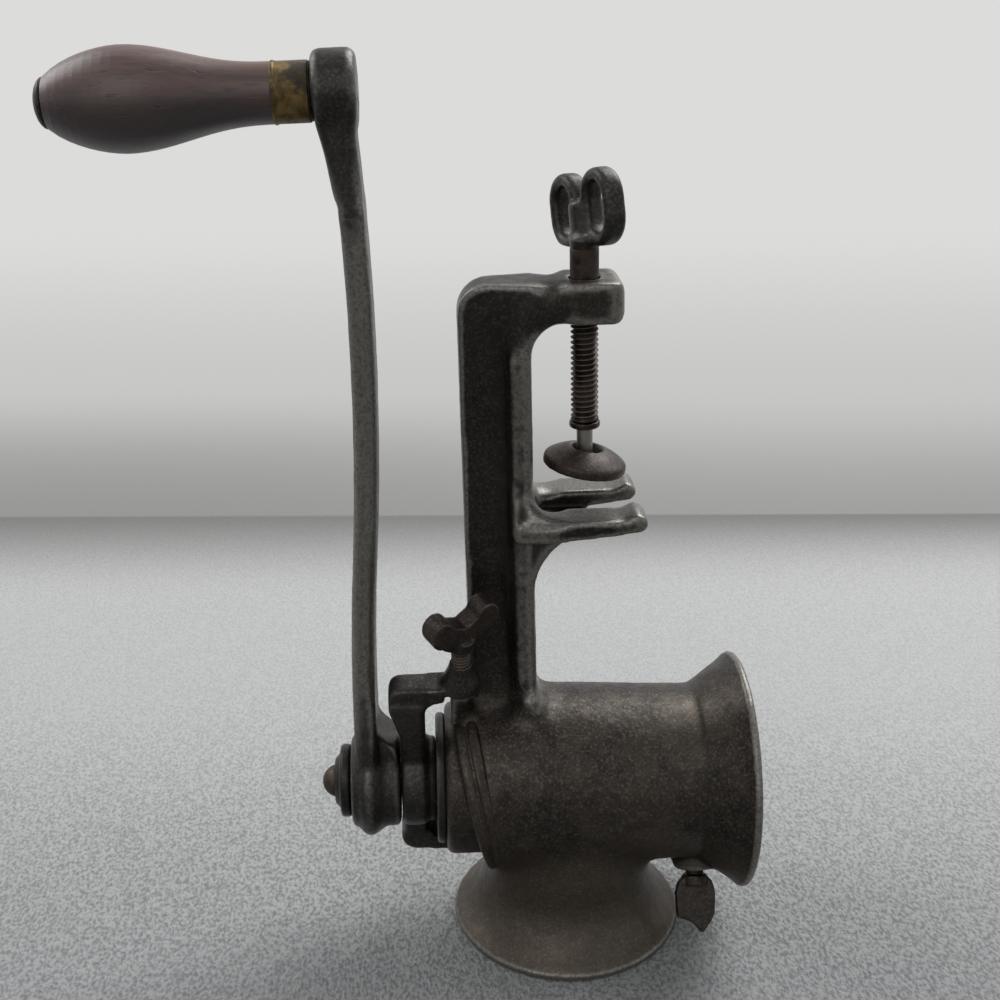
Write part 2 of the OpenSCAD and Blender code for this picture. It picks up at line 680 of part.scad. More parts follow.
// Cast crank: tapered arm with two gentle bends, hub with a ridge, boss for the grip spindle
module crank_arm() color(worn_iron) difference() {
    mid_x = hub_out + 5.5;
    // the arm is straight, bends by crank_lean towards the post, then back to the line that it started on
    bend_x = mid_x + bend_r * (1 - cos(crank_lean));
    bend_z = axis_h + crank_low + bend_r * sin(crank_lean);
    end_lean = crank_lean + 2 * atan((bend_x - mid_x) / (grip_z - bend_z));
    end_r = (grip_z - bend_z) / (sin(crank_lean) + sin(end_lean));
    flank_r = 29;
    // each stretch starts a little inside the one below it, and is thinner by this much
    thin = 0.04;
    sunk = 0.2;
    union() {
        intersection() {
            union() {
                translate([mid_x, 0, axis_h]) linear_extrude(crank_low) arm_section(crank_t);
                translate([mid_x + bend_r, 0, axis_h + crank_low]) rotate([90, 0, 0])
                    rotate([0, 0, 180 - crank_lean]) rotate_extrude(angle = crank_lean + sunk, $fn = 720)
                        translate([bend_r, 0]) arm_section(crank_t - thin);
                translate([bend_x - end_r * cos(crank_lean), 0, bend_z + end_r * sin(crank_lean)])
                    rotate([90, 0, 0]) rotate([0, 0, -crank_lean - sunk])
                        rotate_extrude(angle = crank_lean + end_lean + sunk, $fn = 720)
                            translate([end_r, 0]) arm_section(crank_t - 2 * thin);
            }
            rotate([90, 0, 90]) linear_extrude(300, center = true) polygon([
                [-crank_w / 2, axis_h], [crank_w / 2, axis_h],
                [crank_w_top / 2, grip_z], [-crank_w_top / 2, grip_z]]);
        }
        // hollow flank from the arm down to the inner end of the hub
        translate([0, crank_w / 2 - 4, 0]) rotate([90, 0, 0]) linear_extrude(crank_w - 8) difference() {
            translate([mid_x, axis_h + 6]) square([hub_in - mid_x - 0.6, 2 * hub_r - 6]);
            translate([mid_x + crank_t / 2 + flank_r - 0.4, axis_h + 2 * hub_r + 3])
                circle(r = flank_r, $fn = 128);
        }
        on_feed_axis(hub_out) soft_disc(hub_r, hub_len, 2);
        // lens-shaped ridge round the hub
        on_feed_axis(hub_out) rotate_extrude() polygon([[0, 1.2], [hub_r - 1, 1.2], [hub_ridge_r - 0.9, 3.8],
            [hub_ridge_r, 5.2], [hub_ridge_r, 6.8], [hub_ridge_r - 0.9, 8.2], [hub_r - 1, 12.4], [0, 12.4]]);
        on_grip_axis(-grip_boss_t) soft_disc(grip_boss_r, grip_boss_t, 2.6);
    }
    translate([hub_out - 1, -square_s / 2, axis_h - square_s / 2]) cube([hub_len + 2, square_s, square_s]);
    on_grip_axis(-grip_boss_t - 1) cylinder(r = spindle_r, h = grip_boss_t + 2);
}

// Section of the crank arm at a thickness: flat faces with rounded edges
module arm_section(t) {
    square([t, crank_w - crank_t], center = true);
    for (s = [-1, 1]) translate([0, s * (crank_w - crank_t) / 2]) circle(r = t / 2, $fn = 32);
}

// Dished washer under the bolt head, hollow side to the hub
module crank_washer() color(iron) on_feed_axis(hub_out - 0.02) mirror([0, 0, 1]) difference() {
    union() {
        soft_disc(crank_washer_r, 3.6, 1.2);
        translate([0, 0, 2])
            cylinder(r1 = crank_washer_r - 0.6, r2 = crank_washer_r - 4.6, h = crank_washer_t - 2);
    }
    translate([0, 0, -eps]) cylinder(r1 = crank_washer_r - 2.4, r2 = 5.2, h = 2.6);
    translate([0, 0, -eps]) cylinder(r = 2.6, h = crank_washer_t + 1);
}

// Bolt with a domed head
module crank_bolt() color(rusty) on_feed_axis(hub_out - crank_washer_t - 0.04) mirror([0, 0, 1]) {
    dome = 4.2;
    dome_r = (bolt_head_r * bolt_head_r + dome * dome) / (2 * dome);
    intersection() {
        translate([0, 0, dome - dome_r]) sphere(r = dome_r);
        cylinder(r = bolt_head_r, h = dome);
    }
    translate([0, 0, -crank_washer_t - 10]) cylinder(r = 2.48, h = crank_washer_t + 10 + eps);
}

// Spindle riveted into the crank; the grip turns on it
module grip_spindle() color(steel) on_grip_axis(-grip_boss_t) {
    cylinder(r = spindle_r, h = grip_boss_t + 2.6 + ferrule_len + grip_len - 6);
}

module grip_washer() color("#2c2a28") on_grip_axis(0.1) ring(grip_neck_r + 0.4, spindle_r + grip_fit, 2.3);

module grip_ferrule() color(brass) on_grip_axis(2.5) difference() {
    union() {
        cylinder(r = grip_neck_r, h = ferrule_len);
        translate([0, 0, ferrule_len - 0.8]) soft_disc(grip_neck_r + 0.15, 0.8, 0.35);
    }
    translate([0, 0, 0.8]) cylinder(r = grip_neck_r - ferrule_t, h = ferrule_len);
    translate([0, 0, -1]) cylinder(r = spindle_r + grip_fit, h = 3);
}

// Radius of the turned grip at t from 0 at the ferrule to 1 at the outer end
function grip_at(t) = t < 0.66
    ? grip_neck_r + (grip_r - grip_neck_r) * pow(sin(90 * t / 0.66), 2.6)
    : grip_r * sqrt(1 - pow((t - 0.66) / 0.34, 1.7) * (1 - pow(grip_end_r / grip_r, 2)));

module grip_wood() color(wood) on_grip_axis(2.5 + ferrule_len) difference() {
    union() {
        rotate_extrude($fn = 96) polygon(concat([[0, 0]], [for (i = [0:24])
            [grip_at(i / 24), grip_len * i / 24]], [[0, grip_len]]));
        translate([0, 0, -ferrule_len + 1]) cylinder(r = grip_neck_r - ferrule_t - 0.05, h = ferrule_len);
    }
    translate([0, 0, -ferrule_len]) cylinder(r = spindle_r + grip_fit, h = ferrule_len + grip_len + 1);
    translate([0, 0, grip_len - 3]) cylinder(r = 4.6, h = 4);
}

// Riveted cap that keeps the grip on its spindle
module grip_end_cap() color(iron) on_grip_axis(2.5 + ferrule_len + grip_len - 2.7) difference() {
    union() {
        cylinder(r = 4.4, h = 3);
        translate([0, 0, 3 - eps]) soft_disc(grip_end_r - 0.5, 2.9, 1.2);
    }
    translate([0, 0, -1]) cylinder(r = spindle_r, h = 1.4);
}

// Threaded stem of the clamp screw
module clamp_screw_stem() color(steel) leaning() translate([clamp_x, 0, clamp_thread_low])
    cylinder(r = clamp_screw_r, h = arm_top + clamp_shank_up - clamp_thread_low);

// Cast head with two finger loops, canted on the screw
module clamp_finger_loops() color(iron) leaning() translate([clamp_x, 0, arm_top + clamp_shank_up])
    rotate([0, 0, loop_turn]) {
        cylinder(r = clamp_screw_r + 1.4, h = 7);
        rotate([0, -loop_cant, 0]) {
            translate([0, 0, 3]) soft_disc(loop_band + 1.4, loop_h * 0.62, 2);
            for (s = [-1, 1]) translate([s * (loop_w / 2 + 1.4), 0, loop_h / 2 + 2.8])
                rotate([90, 0, 0]) loop();
        }
    }

// One finger loop: a rounded band bent into a stadium
module loop() {
    straight = loop_h - loop_w;
    bend = (loop_w - loop_band) / 2;
    for (k = [0, 1]) rotate([0, 0, 180 * k]) {
        translate([0, straight / 2, 0]) rotate_extrude(angle = 180) translate([bend, 0]) band_section();
        translate([bend, straight / 2, 0]) rotate([90, 0, 0]) linear_extrude(straight) band_section();
    }
}

// Section of the band: flat faces with rounded edges
module band_section() {
    square([loop_band, loop_t - loop_band], center = true);
    for (s = [-1, 1]) translate([0, s * (loop_t - loop_band) / 2]) circle(r = loop_band / 2, $fn = 32);
}

// Collar and neck below the thread, on which the pad hangs loosely
module pad_collar() color(rusty) leaning() translate([clamp_x, 0, pad_z]) {
    translate([0, 0, clamp_thread_low - pad_z - 2]) soft_disc(clamp_screw_r + 0.4, 1.98, 0.5);
    translate([0, 0, 2.6]) cylinder(r = neck_pin_r, h = clamp_thread_low - pad_z - 4.6);
    sphere(r = 3.4);
}

// Domed pad that presses on the table, free to tilt on the ball of the neck
module clamp_pad() color(worn_iron) leaning() translate([clamp_x, 0, pad_z]) rotate([0, pad_tilt, 0])
    difference() {
        intersection() {
            translate([0, 0, -14.2]) sphere(r = 19.6, $fn = 96);
            translate([0, 0, -1.8]) cylinder(r = pad_r, h = 10);
        }
        sphere(r = 3.7);
        cylinder(r1 = 3.5, r2 = 5.4, h = 8);
    }

body_casting();
end_cap();
bearing_plate();
bearing_yoke();
bearing_bush();
yoke_screw_stem();
yoke_screw_wing();
plate_screw_stem();
plate_screw_wing();
perforated_plate();
cutter_knife();
feed_screw();
thrust_washer();
crank_arm();
crank_washer();
crank_bolt();
grip_spindle();
grip_washer();
grip_ferrule();
grip_wood();
grip_end_cap();
clamp_screw_stem();
clamp_finger_loops();
pad_collar();
clamp_pad();
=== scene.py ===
# %% [markdown]
# # A clamp-on meat grinder, finished in Blender
# The grinder stands upside down on the mouth of its hopper, with its clamp in the air and its crank upright.
# Its solids come in as a fixed frame, in metres. This lesson gives them the skin of an old casting, cuts the
# screw threads, turns the pieces at the ends of the wooden grip, and mixes the finishes: oiled grey iron, rust, brass
# and worn wood.

# %% Load the frame
import json
import math

import bmesh
import bpy
import numpy as np
from mathutils import Matrix


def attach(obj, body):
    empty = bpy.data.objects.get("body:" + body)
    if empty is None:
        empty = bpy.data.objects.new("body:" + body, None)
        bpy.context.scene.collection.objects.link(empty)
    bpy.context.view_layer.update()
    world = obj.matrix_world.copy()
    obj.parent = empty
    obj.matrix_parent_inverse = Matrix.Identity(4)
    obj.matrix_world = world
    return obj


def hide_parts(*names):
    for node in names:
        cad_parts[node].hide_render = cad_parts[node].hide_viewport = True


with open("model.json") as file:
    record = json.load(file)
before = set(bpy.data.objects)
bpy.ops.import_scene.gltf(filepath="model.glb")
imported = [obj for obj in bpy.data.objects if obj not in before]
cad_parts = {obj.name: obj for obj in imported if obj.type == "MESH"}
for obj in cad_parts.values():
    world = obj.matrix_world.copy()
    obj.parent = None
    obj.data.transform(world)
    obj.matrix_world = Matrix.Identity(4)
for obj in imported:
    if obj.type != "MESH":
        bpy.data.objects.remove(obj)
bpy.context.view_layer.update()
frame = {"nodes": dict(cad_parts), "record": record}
nodes = frame["nodes"]
MM = 0.001

# %% [markdown]
# ## The camera
# The camera stands half a metre in front, a little above, and looks 22 degrees down. A camera object could be
# aimed with a constraint, but writing its matrix from two angles and a roll keeps every number in sight.

# %% Place the camera
CAMERA_PLACE = np.array([-43.28, -391.53, 311.6]) * MM
CAMERA_TURN, CAMERA_DIP, CAMERA_ROLL = math.radians(3.1), math.radians(22.2), math.radians(-0.2)
CAMERA_LENS = 50.4


def aimed_camera(place, turn, dip, roll, lens):
    """Looks along +Y, turned to the right by turn, down by dip, and rolled about its own axis by roll."""
    forward = np.array([math.cos(dip) * math.sin(turn), math.cos(dip) * math.cos(turn), -math.sin(dip)])
    level = np.array([math.cos(turn), -math.sin(turn), 0.0])
    above = np.cross(level, forward)
    right = math.cos(roll) * level + math.sin(roll) * above
    up = math.cos(roll) * above - math.sin(roll) * level
    data = bpy.data.cameras.new("camera")
    data.lens, data.sensor_width = lens, 36.0
    data.clip_start, data.clip_end = 0.01, 100.0
    camera = bpy.data.objects.new("camera", data)
    bpy.context.scene.collection.objects.link(camera)
    pose = np.identity(4)
    pose[:3, 0], pose[:3, 1], pose[:3, 2], pose[:3, 3] = right, up, -forward, place
    camera.matrix_world = Matrix(pose.tolist())
    return camera


bpy.context.scene.camera = aimed_camera(CAMERA_PLACE, CAMERA_TURN, CAMERA_DIP, CAMERA_ROLL, CAMERA_LENS)
bpy.context.scene.view_settings.view_transform = "Standard"
print("camera at", np.round(CAMERA_PLACE / MM, 1).tolist(), "mm")

# %% [markdown]
# ## A small kit for finishes
# A material is a graph of nodes. Building each graph by hand takes a page, so this class keeps the few moves
# that every finish here repeats: a noise at a size in millimetres, a soft threshold, a blend and a bit of sum.

class Finish:
    """A material under construction. Each method adds a node and gives back the output to wire on."""

    def __init__(self, name):
        self.material = bpy.data.materials.new(name)
        self.material.use_nodes = True
        self.tree = self.material.node_tree
        self.shader = self.tree.nodes["Principled BSDF"]
        self.place = self.put("TexCoord", {}, "Object")

    def put(self, kind, inputs, output=0, **settings):
        """Adds a node of this kind, with its settings, its inputs wired or set, and returns one output."""
        node = self.tree.nodes.new("ShaderNode" + kind)
        for key, value in settings.items():
            setattr(node, key, value)
        for key, value in inputs.items():
            self.wire(node.inputs[key], value)
        return node.outputs[output]

    def wire(self, socket, value):
        """Links an output to the socket, or writes a plain value into it."""
        if isinstance(value, bpy.types.NodeSocket):
            self.tree.links.new(value, socket)
        else:
            socket.default_value = value

    def noise(self, size, detail=4.0, roughness=0.6, stretch=(1.0, 1.0, 1.0), shift=0.0, turn=(0.0, 0.0, 0.0), twist=0.0):
        """Cloudy noise whose blotches are about size millimetres, stretched along the axes."""
        scale = [0.5 / (size * MM * s) for s in stretch]
        where = self.put("Mapping", {"Vector": self.place, "Scale": scale, "Rotation": turn,
                                     "Location": (shift, shift * 1.7, shift * 2.3)})
        return self.put("TexNoise", {"Vector": where, "Scale": 1.0, "Detail": detail,
                                     "Roughness": roughness, "Distortion": twist}, "Fac")

    def step(self, value, low, high, start=0.0, end=1.0):
        """Goes smoothly from start to end while value goes from low to high."""
        return self.put("MapRange", {"Value": value, "From Min": low, "From Max": high,
                                     "To Min": start, "To Max": end}, interpolation_type="SMOOTHSTEP")

    def sums(self, kind, first, second):
        """One step of arithmetic: ADD, SUBTRACT, MULTIPLY, MAXIMUM or MINIMUM."""
        return self.put("Math", {0: first, 1: second}, operation=kind)

    def blend(self, share, first, second):
        """Mixes two colours, with share as the part of the second."""
        return self.put("Mix", {0: share, 6: first, 7: second}, 2, data_type="RGBA")

    def bump(self, height, depth, strength=1.0):
        """Leans the surface normals by a height pattern that is depth millimetres deep."""
        normal = self.put("Bump", {"Height": height, "Distance": depth * MM, "Strength": strength})
        self.wire(self.shader.inputs["Normal"], normal)


def paint(red, green, blue):
    """A colour from the usual 0 to 255 numbers, as the linear light that the shader wants."""
    share = np.array([red, green, blue]) / 255.0
    linear = np.where(share <= 0.04045, share / 12.92, ((share + 0.055) / 1.055) ** 2.4)
    return (*[float(v) for v in linear], 1.0)


print("a mid grey of 118 is", round(paint(118, 118, 118)[0], 3), "in linear light")

# %% [markdown]
# ## Old iron
# A grey iron casting that has been oiled and handled for decades isn't one grey. Its low places are nearly
# black, the open surface is a mottled olive brown, rust has crept over some of it in brown clouds, and every
# corner that hands and cloths reach is worn to bare metal. The wear comes from an attribute called edge,
# which the casting skins below carry: above 0 on outside corners and below 0 in nooks. On the body and the
# crank this attribute also carries painted highlight on faces turned to the light, and above the barrel the
# body's colour is painted darker as shade.

# %% The iron finishes
def darker(colour, share):
    """The same colour at a share of its strength."""
    return tuple(v * share for v in colour[:3]) + (1.0,)


def iron(name, deep, open_face, pale, rust, rust_low, wear, gloss, painted_frame_shade=1.0, low_pale=0.0):
    """Grainy iron: rust starts where a slow noise passes rust_low, and wear scales the bright corners, which on the
    body and the crank are partly painted highlight. Above the barrel the colour is painted darker as shade, to the
    share given for the frame, with a cool tint, and the rust is left out. On the hopper it is paler by low_pale."""
    f = Finish(name)
    level = f.put("SeparateXYZ", {"Vector": f.place}, "Z")
    # above the barrel: no rust there, and the colour is painted darker as shade
    upper = f.step(level, 0.084, 0.112)
    clouds = f.noise(30.0, 5.0, 0.6, shift=3.1)
    mottle = f.noise(2.2, 7.0, 0.70, shift=1.3)
    sand = f.noise(0.45, 4.0, 0.62, shift=5.7)
    colour = f.blend(f.step(mottle, 0.30, 0.70), deep, open_face)
    colour = f.blend(f.step(sand, 0.50, 0.68, 0.0, 0.50), colour, pale)
    colour = f.blend(f.step(sand, 0.46, 0.32, 0.0, 0.45), colour, darker(deep, 0.5))
    colour = f.blend(f.step(clouds, 0.48, 0.68, 0.0, 0.22), colour, pale)
    if low_pale:
        colour = f.blend(f.step(level, 0.052, 0.030, 0.0, low_pale), colour, pale)
    patches = f.step(f.noise(40.0, 8.0, 0.66, shift=12.4), rust_low, rust_low + 0.16)
    crust = f.sums("MULTIPLY", patches, f.step(f.noise(1.6, 6.0, 0.7, shift=7.7), 0.36, 0.60, 0.25, 0.9))
    if painted_frame_shade < 1.0:
        crust = f.sums("MULTIPLY", crust, f.sums("SUBTRACT", 1.0, upper))
    colour = f.blend(crust, colour, rust)
    scored = f.noise(0.6, 2.0, 0.5, stretch=(12.0, 0.35, 0.5), turn=(0.5, 0.35, 0.6), shift=2.2)
    crossed = f.noise(0.6, 2.0, 0.5, stretch=(0.4, 10.0, 0.4), turn=(0.2, 0.8, -0.5), shift=4.4)
    lines = f.sums("MULTIPLY", f.step(f.sums("MAXIMUM", scored, crossed), 0.70, 0.75),
                   f.step(clouds, 0.42, 0.60, 0.0, 0.45))
    colour = f.blend(lines, colour, pale)
    # painted shade: above the barrel the colour is multiplied down to the frame's share, with a cool tint
    if painted_frame_shade < 1.0:
        dark = f.put("Mix", {0: 1.0, 6: colour, 7: (painted_frame_shade * 1.04, painted_frame_shade * 1.06, painted_frame_shade * 1.10, 1.0)}, 2,
                     data_type="RGBA", blend_type="MULTIPLY")
        colour = f.blend(upper, colour, dark)
    edge = f.put("Attribute", {}, "Fac", attribute_name="edge")
    # bright corners from the edge attribute: wear, and on the body and the crank also painted highlight on faces turned
    # to the light
    wear_and_painted_highlight = f.sums("MULTIPLY", f.step(edge, 0.30, 1.0, 0.0, wear), f.step(sand, 0.32, 0.58, 0.5, 1.0))
    colour = f.blend(f.step(edge, -0.12, -0.85, 0.0, 0.8), colour, darker(deep, 0.45))
    colour = f.blend(wear_and_painted_highlight, colour, paint(140, 137, 130))
    f.wire(f.shader.inputs["Base Color"], colour)
    dull = f.sums("ADD", f.step(mottle, 0.3, 0.7, gloss + 0.06, gloss - 0.06), f.sums("MULTIPLY", crust, 0.25))
    f.wire(f.shader.inputs["Roughness"], f.sums("SUBTRACT", dull, f.sums("MULTIPLY", wear_and_painted_highlight, 0.12)))
    f.wire(f.shader.inputs["Metallic"], f.sums("SUBTRACT", 0.6, f.sums("MULTIPLY", crust, 0.4)))
    height = f.sums("ADD", f.sums("MULTIPLY", mottle, 0.5), f.sums("MULTIPLY", sand, 0.5))
    f.bump(f.sums("ADD", height, f.sums("MULTIPLY", crust, 0.12)), 0.22, 0.8)
    return f.material


# the body's frame above the barrel is painted darker as shade, to 0.58 of its colour
body_iron = iron("oiled grey iron", paint(24, 21, 18), paint(57, 50, 43), paint(108, 98, 85),
                 paint(66, 50, 41), 0.54, 0.7, 0.40, painted_frame_shade=0.58, low_pale=0.35)
worn_iron = iron("handled iron", paint(31, 29, 26), paint(54, 51, 47), paint(92, 88, 82),
                 paint(62, 50, 42), 0.58, 0.7, 0.38)
dark_iron = iron("dark greasy iron", paint(24, 22, 20), paint(42, 39, 36), paint(72, 68, 62),
                 paint(50, 40, 33), 0.58, 0.5, 0.40)
rusty_iron = iron("rust-brown iron", paint(33, 28, 25), paint(60, 51, 45), paint(94, 84, 76),
                  paint(66, 48, 39), 0.52, 0.5, 0.44)
print("iron finishes:", [m.name for m in (body_iron, worn_iron, dark_iron, rusty_iron)])

# %% [markdown]
# ## Steel, brass and wood
# Screws and cutting pieces are steel, brighter than the castings and brushed by use. The ferrule is brass
# with a brown skin. The grip is a fruitwood turned on a lathe, so its grain runs along the grip, with short
# dark pores, and a wax that has dulled in patches.

# %% Steel and brass
def steel(name, deep, bright, rust, rust_low, gloss, crest):
    """Brushed steel with small rust stains."""
    f = Finish(name)
    mottle = f.noise(2.2, 6.0, 0.62, shift=1.9)
    stains = f.noise(7.0, 7.0, 0.68, shift=6.6)
    brushed = f.noise(0.5, 2.0, 0.5, stretch=(1.0, 1.0, 12.0), shift=3.3)
    colour = f.blend(f.step(mottle, 0.34, 0.66), deep, bright)
    crust = f.step(stains, rust_low, rust_low + 0.14)
    colour = f.blend(crust, colour, rust)
    edge = f.put("Attribute", {}, "Fac", attribute_name="edge")
    colour = f.blend(f.step(edge, 0.15, 0.8, 0.0, 0.6), colour, crest)
    colour = f.blend(f.step(edge, -0.1, -0.8, 0.0, 0.8), colour, darker(rust, 0.5))
    f.wire(f.shader.inputs["Base Color"], colour)
    f.wire(f.shader.inputs["Roughness"], f.sums("ADD", f.step(mottle, 0.3, 0.7, gloss, gloss + 0.12), f.sums("MULTIPLY", crust, 0.3)))
    f.wire(f.shader.inputs["Metallic"], f.sums("SUBTRACT", 0.95, f.sums("MULTIPLY", crust, 0.75)))
    f.bump(f.sums("ADD", f.sums("MULTIPLY", mottle, 0.6), f.sums("MULTIPLY", brushed, 0.3)), 0.12, 0.7)
    return f.material


plain_steel = steel("cutter steel", paint(96, 94, 90), paint(150, 148, 142), paint(96, 66, 48), 0.60, 0.32, paint(168, 164, 156))
rusty_steel = steel("rust-brown steel", paint(44, 38, 34), paint(82, 74, 68), paint(62, 46, 37), 0.50, 0.42, paint(104, 97, 90))
neck_steel = steel("steel with a bright neck", paint(44, 38, 34), paint(82, 74, 68), paint(62, 46, 37), 0.56, 0.30, paint(176, 172, 165))
brass = steel("brown-skinned brass", paint(72, 60, 38), paint(130, 108, 68), paint(54, 45, 32), 0.46, 0.38, paint(140, 122, 80))
print("metal finishes:", [m.name for m in (plain_steel, rusty_steel, neck_steel, brass)])

# %% The wood of the grip
GRIP_TILT = math.radians(2.0)


def turned_wood():
    """Grain and pores run along X, tipped with the grip. The wax is dulled in patches, and the underside is painted
    darker as shade.
    """
    f = Finish("waxed fruitwood")
    tip = (0.0, GRIP_TILT, 0.0)
    figure = f.noise(5.5, 5.0, 0.6, stretch=(7.0, 1.0, 1.0), turn=tip, shift=2.0, twist=0.6)
    fibre = f.noise(0.5, 3.0, 0.6, stretch=(22.0, 1.0, 1.0), turn=tip, shift=4.0)
    pores = f.noise(0.42, 2.0, 0.5, stretch=(7.0, 1.0, 1.0), turn=tip, shift=8.0)
    soiled = f.noise(20.0, 5.0, 0.6, shift=5.0)
    # painted shade: a mask for the underside of the grip, below 0.264 to 0.281 m
    under = f.step(f.put("SeparateXYZ", {"Vector": f.place}, "Z"), 0.281, 0.264)
    colour = f.blend(f.step(figure, 0.32, 0.68), paint(66, 43, 38), paint(108, 76, 66))
    colour = f.blend(f.step(fibre, 0.36, 0.66, 0.0, 0.35), colour, paint(116, 92, 82))
    colour = f.blend(f.step(soiled, 0.45, 0.70, 0.0, 0.60), colour, paint(58, 46, 45))
    colour = f.blend(f.step(pores, 0.64, 0.72, 0.0, 0.8), colour, paint(36, 26, 25))
    # painted shade: the underside of the grip is painted dark
    colour = f.blend(f.sums("MULTIPLY", under, 0.85), colour, paint(38, 31, 33))
    f.wire(f.shader.inputs["Base Color"], colour)
    f.wire(f.shader.inputs["Roughness"], f.step(soiled, 0.3, 0.7, 0.34, 0.50))
    f.shader.inputs["Coat Weight"].default_value = 0.4
    f.shader.inputs["Coat Roughness"].default_value = 0.4
    height = f.sums("SUBTRACT", f.sums("MULTIPLY", fibre, 0.5), f.step(pores, 0.62, 0.72, 0.0, 0.9))
    f.bump(height, 0.10, 0.7)
    return f.material


grip_wood_finish = turned_wood()
print("wood finish:", grip_wood_finish.name)

# %% [markdown]
# ## Skins for the castings
# A cast piece has no sharp corner anywhere: the sand rounds them off and fills the joints with fillets.
# Bevelling every edge of a boolean model is slow and breaks easily. Here each casting is wrapped afresh in a
# voxel skin, which joins what touches, and the skin is then relaxed, point towards the mean of its
# neighbours, which rounds every corner at once. The same relaxing also measures each corner: a point that
# sinks when it is relaxed was on an outside corner, and one that rises was in a nook.

# %% Helpers for the skins
def mesh_arrays(mesh):
    """The points of a mesh and the point numbers of its edges, as arrays."""
    points = np.empty(len(mesh.vertices) * 3, np.float32)
    edges = np.empty(len(mesh.edges) * 2, np.int32)
    mesh.vertices.foreach_get("co", points)
    mesh.edges.foreach_get("vertices", edges)
    return points.reshape(-1, 3).astype(np.float64), edges.reshape(-1, 2)


def relax(points, edges, rounds, weight=None):
    """Each round moves every point halfway to the mean of its neighbours, times its weight from 0 to 1."""
    ends = np.concatenate([edges[:, 0], edges[:, 1]])
    other = np.concatenate([edges[:, 1], edges[:, 0]])
    count = np.maximum(np.bincount(ends, minlength=len(points)), 1)
    share = 0.5 if weight is None else 0.5 * weight
    out = points.copy()
    for _ in range(rounds):
        for axis in range(3):
            mean = np.bincount(ends, out[other, axis], minlength=len(points)) / count
            out[:, axis] += share * (mean - out[:, axis])
    return out


def normals_of(mesh):
    """The outward normal at every point of a mesh."""
    out = np.empty(len(mesh.vertices) * 3, np.float32)
    mesh.vertices.foreach_get("normal", out)
    return out.reshape(-1, 3).astype(np.float64)


def grain(points, size, seed):
    """Smooth random heights from -1 to 1: random values on a cubic lattice of this size, blended between."""
    table = np.random.default_rng(seed).uniform(-1.0, 1.0, (32, 32, 32))
    place = points / size + 1000.0
    cell = np.floor(place).astype(np.int64)
    part = place - cell
    part = part * part * (3.0 - 2.0 * part)
    out = np.zeros(len(points))
    for dx in (0, 1):
        for dy in (0, 1):
            for dz in (0, 1):
                corner = (cell + np.array([dx, dy, dz])) % 32
                share = (part[:, 0] if dx else 1 - part[:, 0]) * (part[:, 1] if dy else 1 - part[:, 1])
                share = share * (part[:, 2] if dz else 1 - part[:, 2])
                out += share * table[corner[:, 0], corner[:, 1], corner[:, 2]]
    return out


def shade_smooth(mesh):
    """Marks every face as smooth."""
    mesh.polygons.foreach_set("use_smooth", np.ones(len(mesh.polygons), bool))
    mesh.update()


print("the lattice noise has a spread of", round(float(grain(np.random.default_rng(0).uniform(0, 1, (4000, 3)), 0.05, 1).std()), 2))

# %% The casting skin
body_of = {node: body for body, members in frame["record"]["behaviour"]["bodies"].items() for node in members}
joint_of = {joint["name"]: joint for joint in frame["record"]["behaviour"]["joints"]}


def line_of(joint_name):
    """A point on the axis of a joint, in mm, and the direction of the axis."""
    joint = joint_of[joint_name]
    return np.array(joint["pos_m"]) / MM, np.array(joint["axis"], float)


def about(at, joint_name):
    """The heights of points along the axis of a joint, upwards, the foot of each on the axis, and the way out."""
    place, direction = line_of(joint_name)
    direction = direction * np.sign(direction[2])
    height = (at - place) @ direction
    foot = place + height[:, None] * direction
    return height, foot, at - foot, direction


def stands_for(piece, node_name):
    """Puts a finished piece in the place of a CAD node: same body, and the node is hidden."""
    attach(piece, body_of[node_name])
    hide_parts(node_name)
    faces = len(piece.data.polygons)
    print(f"{piece.name}: {len(piece.data.vertices)} points, {faces} faces, on body {body_of[node_name]}")
    return piece


